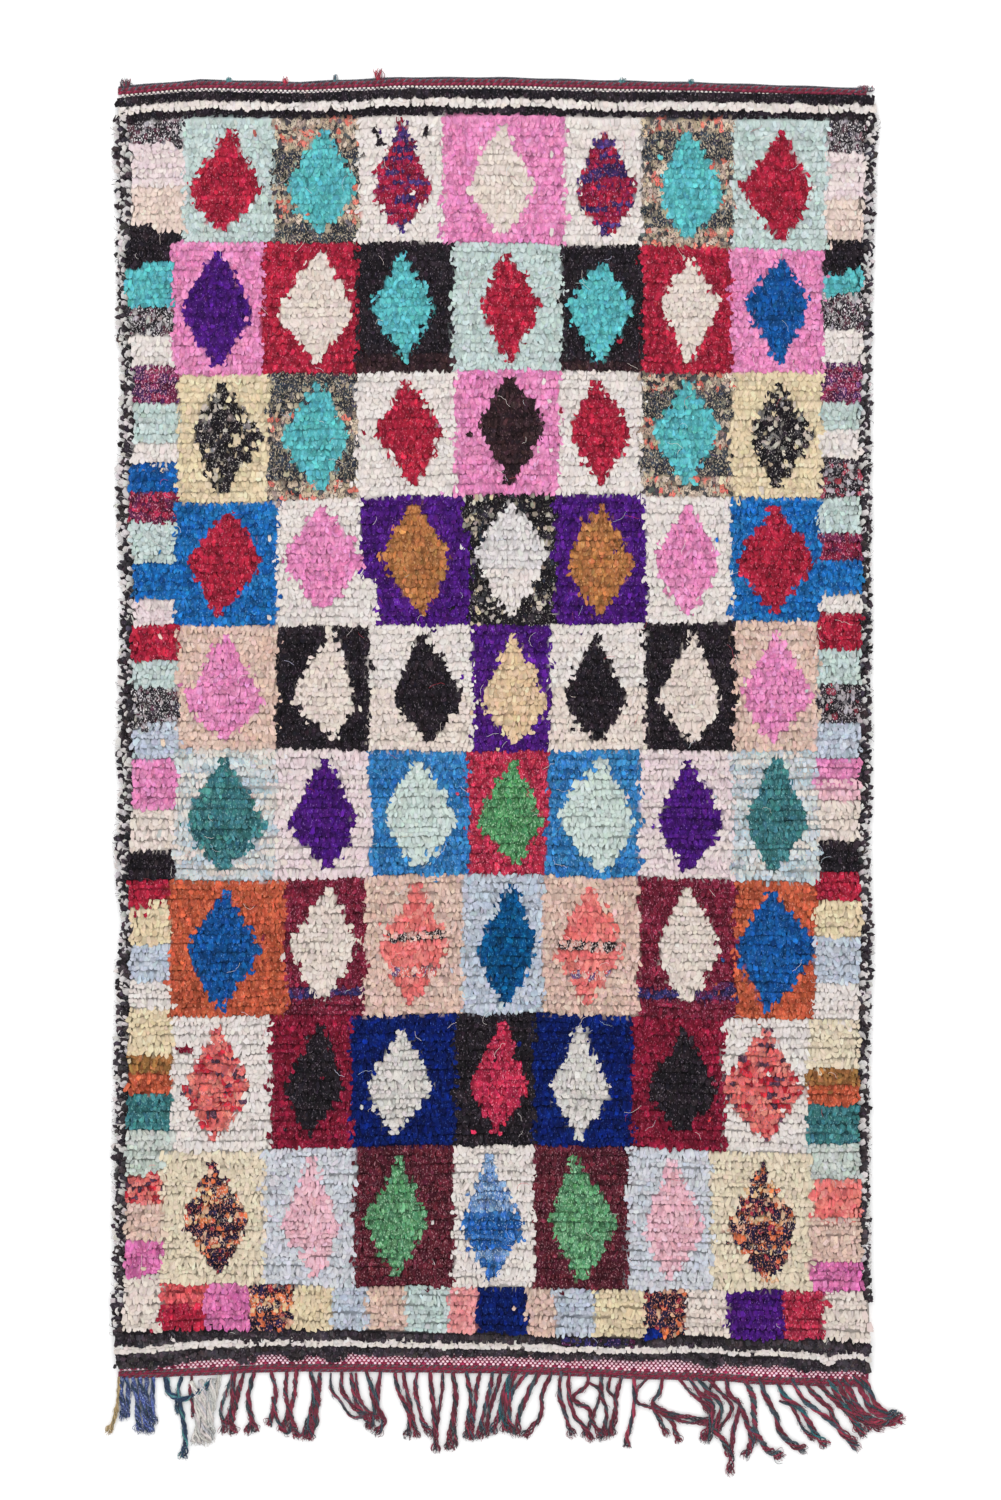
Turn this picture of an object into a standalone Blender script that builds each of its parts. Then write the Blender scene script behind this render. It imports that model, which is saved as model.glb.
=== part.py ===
"""Boucherouite rug, laid flat: one knotted cloth of rag pile with flat-woven ends, a tufted
selvedge down each long side, a twined cord across the head, and a twined cord across the foot
whose warp ends hang out as a fringe.

Metres, +Z up, +Y towards the head. The origin is the middle of the cloth, on the floor.
"""

import collections
import math
import random

import bmesh
import bpy
import numpy as np

MM = 0.001
GAP = 0.3 * MM  # clearance between neighbouring pieces

# Heights above the floor
PILE_HEIGHT = 20 * MM
BAND_HEIGHT = 16 * MM  # the shorter black and white rows at both ends
KILIM_HEIGHT = 3.5 * MM  # flat weave with no knots in it
SIDE_PILE_HEIGHT = 16.5 * MM
PILE_LUMP = 3.5 * MM  # how far the top sinks between lumps
CORD_HEIGHT = 6.5 * MM
STRAND_HEIGHT = 6 * MM

# Widths across the two ends
HEAD_CORD_WIDTH = 13 * MM
FOOT_CORD_WIDTH = 14 * MM
HEAD_KILIM_WIDTH = 8 * MM
FOOT_KILIM_WIDTH = 19 * MM
PILE_RISER = 4 * MM  # how far the first row of pile leans out as it rises
BAND_WIDTH = 45 * MM

# How finely the cloth is divided
BODY_COLUMNS = 32
BODY_ROWS = 50
CORD_STEP = 17 * MM
SELVEDGE_LOCKS = 64
STRAND_STEP = 18 * MM

# The long edges as they wander down the rug, in millimetres: each outer rim, and the line where
# the selvedge meets the pile.
Side = collections.namedtuple("Side", "y left_rim left_pile right_pile right_rim")
SIDES = [
    Side(1112, -655, -632, 632, 658),
    Side(1060, -657, -627, 637, 669),
    Side(1005, -659, -626, 639, 673),
    Side(830, -658, -627, 634, 666),
    Side(660, -657, -628, 627, 656),
    Side(400, -658, -629, 630, 657),
    Side(50, -660, -634, 631, 659),
    Side(-290, -658, -635, 631, 660),
    Side(-640, -660, -634, 631, 659),
    Side(-900, -660, -636, 628, 657),
    Side(-1040, -667, -638, 621, 656),
    Side(-1110, -662, -639, 620, 654),
]

SIDE_WAVER = 0.9 * MM
SIDE_WAVES = 31  # radians of waver for a metre of edge

# The outer edges of the head cord and of the foot cord, in millimetres.
EdgePoint = collections.namedtuple("EdgePoint", "x y")
HEAD_EDGE = [
    EdgePoint(-652, 1112),
    EdgePoint(-508, 1124),
    EdgePoint(-335, 1120),
    EdgePoint(-162, 1128),
    EdgePoint(11, 1128),
    EdgePoint(184, 1123),
    EdgePoint(357, 1119),
    EdgePoint(648, 1109),
]
FOOT_EDGE = [
    EdgePoint(-653, -1123),
    EdgePoint(-516, -1118),
    EdgePoint(-381, -1111),
    EdgePoint(-246, -1111),
    EdgePoint(11, -1114),
    EdgePoint(188, -1119),
    EdgePoint(381, -1126),
    EdgePoint(577, -1126),
    EdgePoint(646, -1123),
]

# Yarn ends that stick up from the head cord, in millimetres.
HeadTuft = collections.namedtuple("HeadTuft", "x width rise")
HEAD_TUFTS = [
    HeadTuft(-634, 18, 17),
    HeadTuft(-459, 9, 8),
    HeadTuft(-362, 8, 10),
    HeadTuft(-276, 6, 12),
    HeadTuft(-199, 20, 21),
    HeadTuft(223, 12, 6),
    HeadTuft(342, 9, 7),
]

# The fringe, in millimetres: where each strand leaves the foot cord, where it lies halfway down
# and at its tip, how far it hangs below the cord, and its width.
Strand = collections.namedtuple("Strand", "root middle tip drop width")
STRANDS = [
    Strand(-647, -656, -667, 93, 4),
    Strand(-637, -637, -636, 74, 8),
    Strand(-624, -617, -612, 99, 12),
    Strand(-609, -605, -598, 100, 12),
    Strand(-589, -589, -591, 80, 8),
    Strand(-567, -563, -553, 42, 6),
    Strand(-542, -546, -539, 147, 7),
    Strand(-523, -518, -510, 119, 9),
    Strand(-503, -501, -497, 125, 12),
    Strand(-480, -487, -486, 109, 9),
    Strand(-454, -468, -473, 116, 7),
    Strand(-432, -449, -454, 116, 7),
    Strand(-411, -421, -423, 111, 7),
    Strand(-379, -378, -388, 109, 7),
    Strand(-354, -357, -369, 112, 7),
    Strand(-334, -342, -352, 109, 7),
    Strand(-314, -311, -336, 123, 7),
    Strand(-294, -312, -328, 131, 7),
    Strand(-279, -264, -241, 83, 4),
    Strand(-269, -248, -221, 111, 6),
    Strand(-246, -231, -210, 111, 7),
    Strand(-226, -208, -200, 109, 7),
    Strand(-198, -200, -191, 95, 7),
    Strand(-173, -153, -144, 123, 7),
    Strand(-157, -143, -132, 125, 7),
    Strand(-132, -127, -110, 135, 7),
    Strand(-110, -106, -99, 144, 7),
    Strand(-87, -93, -92, 123, 7),
    Strand(-72, -72, -74, 145, 8),
    Strand(-42, -41, -44, 128, 7),
    Strand(-23, -30, -37, 126, 7),
    Strand(-1, -15, -23, 125, 8),
    Strand(18, 4, -3, 107, 7),
    Strand(37, 25, 18, 111, 7),
    Strand(57, 37, 25, 107, 7),
    Strand(81, 53, 41, 114, 8),
    Strand(101, 82, 67, 112, 7),
    Strand(120, 118, 134, 111, 7),
    Strand(133, 139, 152, 123, 7),
    Strand(167, 151, 162, 97, 7),
    Strand(181, 189, 179, 121, 7),
    Strand(198, 208, 189, 116, 7),
    Strand(227, 210, 195, 121, 7),
    Strand(247, 245, 233, 125, 8),
    Strand(266, 262, 279, 87, 6),
    Strand(297, 276, 319, 116, 8),
    Strand(314, 354, 357, 114, 7),
    Strand(333, 375, 368, 109, 7),
    Strand(354, 388, 378, 116, 7),
    Strand(382, 414, 411, 168, 7),
    Strand(402, 426, 440, 142, 8),
    Strand(431, 452, 508, 137, 8),
    Strand(463, 489, 542, 121, 8),
    Strand(494, 530, 584, 125, 8),
    Strand(518, 558, 608, 116, 8),
    Strand(537, 580, 629, 118, 7),
    Strand(556, 603, 644, 109, 7),
    Strand(586, 622, 658, 87, 8),
    Strand(606, 634, 682, 90, 10),
    Strand(622, 651, 702, 80, 10),
    Strand(637, 667, 717, 69, 10),
]
STRAND_CLEARANCE = 2 * MM  # least space left between two strands
STRAND_WAVER = 1.2 * MM
SPREAD_ROUNDS = 60  # passes that move crowded strands apart
ROOT_SHARE = 0.85  # a strand's width at its root, as a share of its full width
FRAY_SHARES = (1.35, 1.15)  # a strand's width one step before its tip, and at its tip
TIP_FLATTENING = 0.6  # a strand's height at its tip, as a share of its full height
FIRST_STEP_SHARE = 0.4  # the first step down from the cord is shorter

Finish = collections.namedtuple("Finish", "color roughness")
RAG_PILE = Finish((0.55, 0.38, 0.40, 1), 0.92)
SELVEDGE_YARN = Finish((0.035, 0.030, 0.033, 1), 0.95)
HEAD_CORD_YARN = Finish((0.17, 0.025, 0.055, 1), 0.9)
FRINGE_YARN = Finish((0.15, 0.028, 0.055, 1), 0.9)


def edge_y(points, x):
    """The height up the rug of an end's outer edge, at this place across it."""
    return MM * np.interp(x / MM, [p.x for p in points], [p.y for p in points])


def side_x(column, y):
    """One of the four long lines at this height up the rug, with its slight waver."""
    up = SIDES[::-1]
    x = MM * np.interp(y / MM, [s.y for s in up], [getattr(s, column) for s in up])
    return x + SIDE_WAVER * math.sin(y * SIDE_WAVES + len(column))


def top_of_cloth(x):
    return edge_y(HEAD_EDGE, x) - HEAD_CORD_WIDTH


def foot_of_cloth(x):
    return edge_y(FOOT_EDGE, x) + FOOT_CORD_WIDTH


def grid_slab(columns, rows, place):
    """A grid whose points are put in place, closed by walls down to a flat underside. Also gives
    the wall faces."""
    bm = bmesh.new()
    bmesh.ops.create_grid(bm, x_segments=columns, y_segments=rows, size=0.5)
    for vert in bm.verts:
        column = round((vert.co.x + 0.5) * columns)
        row = round((vert.co.y + 0.5) * rows)
        vert.co = place(column, row)
    rim = [edge for edge in bm.edges if edge.is_boundary]
    grown = bmesh.ops.extrude_edge_only(bm, edges=rim)["geom"]
    walls = [item for item in grown if isinstance(item, bmesh.types.BMFace)]
    for item in grown:
        if isinstance(item, bmesh.types.BMVert):
            item.co.z = 0
    lowest = [edge for edge in bm.edges if edge.is_boundary]
    bmesh.ops.edgeloop_fill(bm, edges=lowest)
    bmesh.ops.recalc_face_normals(bm, faces=bm.faces)
    return bm, walls


def grow_lock(bm, face, across, rings):
    """Draws a four-sided lock out of a wall face, one ring of corners after another. across is
    the axis along the wall; a ring gives a corner's place from its side (-1 or 1) and its level
    (0 on the floor, 1 on top)."""
    middle = face.calc_center_median()
    roles = [
        (1 if vert.co[across] > middle[across] else -1, int(vert.co.z > 0))
        for vert in face.verts
    ]
    for ring in rings:
        face = bmesh.ops.extrude_discrete_faces(bm, faces=[face])["faces"][0]
        for vert, (side, level) in zip(face.verts, roles):
            vert.co = ring(side, level)


def faces_at(faces, axis, values):
    """The face nearest each value along the axis."""
    middles = [face.calc_center_median()[axis] for face in faces]
    return [faces[int(np.argmin(np.abs(np.subtract(middles, value))))] for value in values]


def make_object(name, bm, finish, collection):
    mesh = bpy.data.meshes.new(name)
    bm.to_mesh(mesh)
    bm.free()
    mat = bpy.data.materials.new(name + "_finish")
    mat.use_nodes = True
    shader = mat.node_tree.nodes["Principled BSDF"]
    shader.inputs["Base Color"].default_value = finish.color
    shader.inputs["Roughness"].default_value = finish.roughness
    shader.inputs["Metallic"].default_value = 0
    mesh.materials.append(mat)
    obj = bpy.data.objects.new(name, mesh)
    collection.objects.link(obj)
    return obj


# The cloth

FOOT_STEPS = [0, FOOT_KILIM_WIDTH, FOOT_KILIM_WIDTH + PILE_RISER]
HEAD_STEPS = [HEAD_KILIM_WIDTH + PILE_RISER, HEAD_KILIM_WIDTH, 0]


def body_y(row, x):
    """Rows step over the flat weave at each end and run evenly through the pile between."""
    foot = foot_of_cloth(x)
    top = top_of_cloth(x)
    first = len(FOOT_STEPS) - 1
    last = BODY_ROWS - len(HEAD_STEPS) + 1
    if row <= first:
        return foot + FOOT_STEPS[row]
    if row >= last:
        return top - HEAD_STEPS[row - last]
    share = (row - first) / (last - first)
    return (foot + FOOT_STEPS[-1]) * (1 - share) + (top - HEAD_STEPS[0]) * share


def body_point(column, row):
    share = column / BODY_COLUMNS
    nominal_x = side_x("left_pile", 0) * (1 - share) + side_x("right_pile", 0) * share
    y = body_y(row, nominal_x)
    x = side_x("left_pile", y) * (1 - share) + side_x("right_pile", y) * share
    return x, y


def knotted_body(collection):
    """The pile as one lumpy slab, low where the flat weave shows at both ends."""
    luck = random.Random(11)

    def place(column, row):
        x, y = body_point(column, row)
        flat_rows = (0, 1, BODY_ROWS - 1, BODY_ROWS)
        if row in flat_rows:
            return x, y, KILIM_HEIGHT
        height = PILE_HEIGHT
        if column in (0, BODY_COLUMNS):
            height = SIDE_PILE_HEIGHT
        if min(y - foot_of_cloth(x), top_of_cloth(x) - y) < BAND_WIDTH + FOOT_KILIM_WIDTH:
            height = min(height, BAND_HEIGHT)
        return x, y, height - PILE_LUMP * luck.random()

    bm, _ = grid_slab(BODY_COLUMNS, BODY_ROWS, place)
    return make_object("knotted_body", bm, RAG_PILE, collection)


def body_side(column):
    """The cloth's own side line, as the x at each y of its corner points."""
    points = [body_point(column, row) for row in range(BODY_ROWS + 1)]
    return [p[1] for p in points], [p[0] for p in points]


def body_end(row):
    """The cloth's own head or foot line, as the y at each x of its corner points."""
    points = [body_point(column, row) for column in range(BODY_COLUMNS + 1)]
    return [p[0] for p in points], [p[1] for p in points]


# The selvedges

LOCK_START = 0.25  # where a lock's root begins and ends, as shares of the pitch
LOCK_END = 0.75
SELVEDGE_COLUMNS = 2
SELVEDGE_CREST = 17 * MM
SELVEDGE_SHOULDER = 10 * MM
LOCK_REACH = (5 * MM, 12 * MM)
LOCK_TIP_HEIGHT = 6 * MM
LOCK_TIP_SHARE = 0.55  # a lock's width at its tip, as a share of its root
LOCK_LEAN = 4 * MM
CREST_WANDER = 2 * MM


def selvedge(side_name, sign, collection):
    """An overcast edge of black and white tufts: a lumpy strip beside the cloth, with separate
    locks along its rim."""
    luck = random.Random(21 + sign)
    line_y, line_x = body_side(0 if sign < 0 else BODY_COLUMNS)
    low, high = line_y[0], line_y[-1]
    shares = [0.0]
    for lock in range(SELVEDGE_LOCKS):
        shares.append((lock + LOCK_START) / SELVEDGE_LOCKS)
        shares.append((lock + LOCK_END) / SELVEDGE_LOCKS)
    shares.append(1.0)
    reach = sum(LOCK_REACH) / 2

    def inner_x(y):
        return np.interp(y, line_y, line_x) + sign * GAP

    def shoulder_x(y):
        return side_x(side_name + "_rim", y) - sign * reach

    def place(column, row):
        y = low + (high - low) * shares[row]
        if column == 0:
            return inner_x(y), y, SELVEDGE_CREST - PILE_LUMP * luck.random()
        if column == SELVEDGE_COLUMNS:
            return shoulder_x(y), y, SELVEDGE_SHOULDER - CREST_WANDER * luck.random()
        middle = (inner_x(y) + shoulder_x(y)) / 2 + CREST_WANDER * luck.uniform(-1, 1)
        return middle, y, SELVEDGE_CREST - PILE_LUMP * luck.random()

    bm, walls = grid_slab(SELVEDGE_COLUMNS, len(shares) - 1, place)
    rim_walls = [
        face
        for face in walls
        if sign * (face.calc_center_median().x - (inner_x(0) + shoulder_x(0)) / 2) > 0
    ]
    pitch = (high - low) / SELVEDGE_LOCKS
    half = pitch * (LOCK_END - LOCK_START) / 2
    middles = [low + pitch * (lock + 0.5) for lock in range(SELVEDGE_LOCKS)]
    for y, root in zip(middles, faces_at(rim_walls, 1, middles)):
        length = luck.uniform(*LOCK_REACH)
        lean = LOCK_LEAN * luck.uniform(-1, 1)

        def tip(side, level, y=y, length=length, lean=lean):
            return (
                shoulder_x(y) + sign * length,
                y + lean + side * half * LOCK_TIP_SHARE,
                level * LOCK_TIP_HEIGHT,
            )

        grow_lock(bm, root, 1, [tip])
    return make_object("selvedge_" + side_name, bm, SELVEDGE_YARN, collection)


# The cords across the ends

CORD_SHOULDER = CORD_HEIGHT * 0.8
TUFT_LEAN = 3 * MM

# How a head tuft narrows: how far up it, its width and its height there, each as a share.
TuftRing = collections.namedtuple("TuftRing", "rise width height")
TUFT_RINGS = [TuftRing(0.5, 1.0, 1.0), TuftRing(1.0, 0.5, 0.5)]


def cord_stations(left, right, roots):
    """Places across a cord: both sides of every root, and even steps in the bare stretches."""
    stations = [left]
    marks = sorted(edge for root in roots for edge in root) + [right]
    for mark in marks:
        stretch = mark - stations[-1]
        steps = max(1, round(stretch / CORD_STEP))
        start = stations[-1]
        stations.extend(start + stretch * step / steps for step in range(1, steps + 1))
    return stations


def cord_slab(stations, inner_y, outer_y):
    """A low rounded strip between two lines, in two rows of faces."""

    def place(column, row):
        x = stations[column]
        if row == 1:
            return x, (inner_y(x) + outer_y(x)) / 2, CORD_HEIGHT
        return x, inner_y(x) if row == 0 else outer_y(x), CORD_SHOULDER

    return grid_slab(len(stations) - 1, 2, place)


def head_cord(collection):
    """The twined cord that locks the first wefts, with the yarn ends left in it."""
    luck = random.Random(31)
    body_x, body_top = body_end(BODY_ROWS)
    roots = [((t.x - t.width / 2) * MM, (t.x + t.width / 2) * MM) for t in HEAD_TUFTS]
    stations = cord_stations(HEAD_EDGE[0].x * MM, HEAD_EDGE[-1].x * MM, roots)

    def inner_y(x):
        return np.interp(x, body_x, body_top) + GAP

    def outer_y(x):
        return edge_y(HEAD_EDGE, x)

    bm, walls = cord_slab(stations, inner_y, outer_y)
    outer_walls = [face for face in walls if face.normal.y > 0.5]
    tuft_roots = faces_at(outer_walls, 0, [tuft.x * MM for tuft in HEAD_TUFTS])
    for tuft, root in zip(HEAD_TUFTS, tuft_roots):
        lean = TUFT_LEAN * luck.uniform(-1, 1)
        rings = []
        for step in TUFT_RINGS:
            x = tuft.x * MM + lean * step.rise
            y = outer_y(tuft.x * MM) + tuft.rise * MM * step.rise
            half = tuft.width * MM * step.width / 2

            def ring(side, level, x=x, y=y, half=half, share=step.height):
                return x + side * half, y, level * share * STRAND_HEIGHT

            rings.append(ring)
        grow_lock(bm, root, 0, rings)
    return make_object("head_cord", bm, HEAD_CORD_YARN, collection)


def strand_levels():
    """Each strand's places and widths, level by level below the foot cord. Strands that would
    touch are moved apart at the same level, so they stay clear all the way down."""
    counts = [max(2, round(s.drop * MM / STRAND_STEP)) for s in STRANDS]
    levels = []
    for level in range(1, max(counts) + 1):
        running = [i for i, count in enumerate(counts) if count >= level]
        places = []
        widths = []
        for i in running:
            strand = STRANDS[i]
            share = level / counts[i]
            straight = strand.root + (strand.tip - strand.root) * share
            bow = strand.middle - (strand.root + strand.tip) / 2
            curved = straight + 4 * bow * share * (1 - share)
            waver = STRAND_WAVER * math.sin(level * 1.7 + i * 2.3) * (1 - share)
            places.append(curved * MM + waver)
            left_to_go = counts[i] - level
            fray = FRAY_SHARES[1 - left_to_go] if left_to_go < 2 else 1.0
            widths.append(strand.width * MM * fray)
        for _ in range(SPREAD_ROUNDS):
            for k in range(len(running) - 1):
                least = (widths[k] + widths[k + 1]) / 2 + STRAND_CLEARANCE
                short = least - (places[k + 1] - places[k])
                if short > 0:
                    places[k] -= short / 2
                    places[k + 1] += short / 2
        levels.append(dict(zip(running, zip(places, widths))))
    return levels, counts


def fringe(collection):
    """The twined foot cord, and the strands that hang from it, flat on the floor."""
    body_x, body_foot = body_end(0)
    roots = [
        (
            (s.root - s.width * ROOT_SHARE / 2) * MM,
            (s.root + s.width * ROOT_SHARE / 2) * MM,
        )
        for s in STRANDS
    ]
    stations = cord_stations(FOOT_EDGE[0].x * MM, FOOT_EDGE[-1].x * MM, roots)
    levels, counts = strand_levels()
    below_cord = min(p.y for p in FOOT_EDGE) * MM - STRAND_CLEARANCE

    def inner_y(x):
        return np.interp(x, body_x, body_foot) - GAP

    def outer_y(x):
        return edge_y(FOOT_EDGE, x)

    bm, walls = cord_slab(stations, inner_y, outer_y)
    outer_walls = [face for face in walls if face.normal.y < -0.5]
    strand_roots = faces_at(outer_walls, 0, [strand.root * MM for strand in STRANDS])
    for i, root in enumerate(strand_roots):
        rings = []
        for level in range(1, counts[i] + 1):
            place, width = levels[level - 1][i]
            y = below_cord - STRAND_STEP * (level - 1 + FIRST_STEP_SHARE)
            height = STRAND_HEIGHT * (TIP_FLATTENING if level == counts[i] else 1.0)

            def ring(side, up, place=place, width=width, y=y, height=height):
                return place + side * width / 2, y, up * height

            rings.append(ring)
        grow_lock(bm, root, 0, rings)
    return make_object("fringe", bm, FRINGE_YARN, collection)


def main():
    for old in list(bpy.data.objects):
        bpy.data.objects.remove(old, do_unlink=True)
    collection = bpy.data.collections.new("boucherouite_rug")
    bpy.context.scene.collection.children.link(collection)
    knotted_body(collection)
    selvedge("left", -1, collection)
    selvedge("right", 1, collection)
    head_cord(collection)
    fringe(collection)


main()
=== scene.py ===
"""The looks of the boucherouite rug: every tuft of its rag pile, its flat-woven ends, tufted
selvedges, end cords and warp fringe, lying on a pale studio floor.

Metres, +Z up, +Y towards the head of the rug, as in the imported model.
"""

import collections
import math

import bpy
import numpy as np
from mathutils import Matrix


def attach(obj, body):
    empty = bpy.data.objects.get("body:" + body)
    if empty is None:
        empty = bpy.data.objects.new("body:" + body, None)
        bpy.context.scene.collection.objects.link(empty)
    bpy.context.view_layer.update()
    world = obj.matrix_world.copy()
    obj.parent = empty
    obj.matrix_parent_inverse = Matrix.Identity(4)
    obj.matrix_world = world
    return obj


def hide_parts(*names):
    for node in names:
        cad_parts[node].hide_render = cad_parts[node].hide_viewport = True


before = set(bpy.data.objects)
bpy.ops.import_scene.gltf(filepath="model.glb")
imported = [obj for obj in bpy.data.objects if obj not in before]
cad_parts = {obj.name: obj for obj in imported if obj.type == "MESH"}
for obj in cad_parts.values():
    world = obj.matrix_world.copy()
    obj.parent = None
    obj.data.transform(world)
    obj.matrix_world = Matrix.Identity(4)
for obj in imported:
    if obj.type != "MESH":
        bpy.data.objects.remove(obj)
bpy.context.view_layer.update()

MM = 0.001

# The pattern is charted in steps of the photograph, counted from its top left corner. One step
# is a real size, and the middle of the cloth lies at CHART_MIDDLE.
CHART_STEP = 1.73 * MM
CHART_MIDDLE = (493.5, 731)

# The edges of the rug as the photograph shows them, in millimetres, close to the solids' own.
Side = collections.namedtuple("Side", "y left_rim left_pile right_pile right_rim")
SIDES = [
    Side(1112, -657, -640, 648, 665),
    Side(1060, -658, -633, 645, 668),
    Side(1005, -658, -628, 643, 661),
    Side(936, -657, -625, 641, 660),
    Side(867, -653, -627, 640, 658),
    Side(823, -651, -637, 638, 656),
    Side(746, -650, -635, 638, 653),
    Side(676, -653, -629, 641, 652),
    Side(633, -646, -622, 638, 652),
    Side(503, -648, -622, 632, 654),
    Side(434, -653, -633, 634, 654),
    Side(374, -653, -629, 636, 654),
    Side(296, -648, -622, 636, 653),
    Side(140, -646, -625, 636, 653),
    Side(-24, -655, -624, 635, 654),
    Side(-119, -648, -625, 634, 653),
    Side(-206, -658, -632, 632, 650),
    Side(-292, -650, -632, 636, 652),
    Side(-336, -639, -625, 637, 655),
    Side(-396, -653, -629, 634, 656),
    Side(-569, -656, -633, 632, 650),
    Side(-811, -658, -636, 636, 650),
    Side(-967, -658, -639, 640, 650),
    Side(-990, -659, -640, 650, 656),
    Side(-1054, -661, -643, 652, 657),
    Side(-1110, -661, -644, 650, 656),
]
EdgePoint = collections.namedtuple("EdgePoint", "x y")
HEAD_EDGE = [
    EdgePoint(-652, 1116),
    EdgePoint(-508, 1128),
    EdgePoint(-335, 1124),
    EdgePoint(-162, 1132),
    EdgePoint(11, 1132),
    EdgePoint(184, 1127),
    EdgePoint(357, 1123),
    EdgePoint(648, 1113),
]
FOOT_EDGE = [
    EdgePoint(-653, -1123),
    EdgePoint(-516, -1118),
    EdgePoint(-381, -1111),
    EdgePoint(-246, -1111),
    EdgePoint(11, -1114),
    EdgePoint(188, -1120),
    EdgePoint(253, -1124),
    EdgePoint(392, -1127),
    EdgePoint(466, -1133),
    EdgePoint(549, -1135),
    EdgePoint(646, -1138),
]
HEAD_CORD_WIDTH = 13 * MM
FOOT_CORD_WIDTH = 14 * MM


def along(rows, column, place, at):
    """One column of a table of edge points, read at this place, in metres."""
    rows = sorted(rows, key=lambda row: getattr(row, at))
    places = [getattr(row, at) for row in rows]
    return MM * np.interp(np.asarray(place) / MM, places, [getattr(r, column) for r in rows])


def head_edge(x):
    return along(HEAD_EDGE, "y", x, "x")


def foot_edge(x):
    return along(FOOT_EDGE, "y", x, "x")


def side_line(column, y):
    return along(SIDES, column, y, "y")


def across_pile(share, y):
    """The place this share of the way from the left edge of the pile to its right edge."""
    return side_line("left_pile", y) * (1 - share) + side_line("right_pile", y) * share


def to_chart(x, y):
    return x / CHART_STEP + CHART_MIDDLE[0], CHART_MIDDLE[1] - y / CHART_STEP


def from_chart(x, y):
    return (x - CHART_MIDDLE[0]) * CHART_STEP, (CHART_MIDDLE[1] - y) * CHART_STEP


# The seed of each piece's random draws.
SEEDS = {
    "pile": 7,
    "ground_cloth": 17,
    "pile_bed": 19,
    "foot_kilim": 10,
    "head_kilim": 10,
    "selvedge_left": 39,
    "selvedge_right": 41,
    "head_cord": 51,
    "fringe": 61,
    "stray_threads": 71,
}


def dice(title):
    return np.random.default_rng(SEEDS[title])


# Yarns

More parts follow.
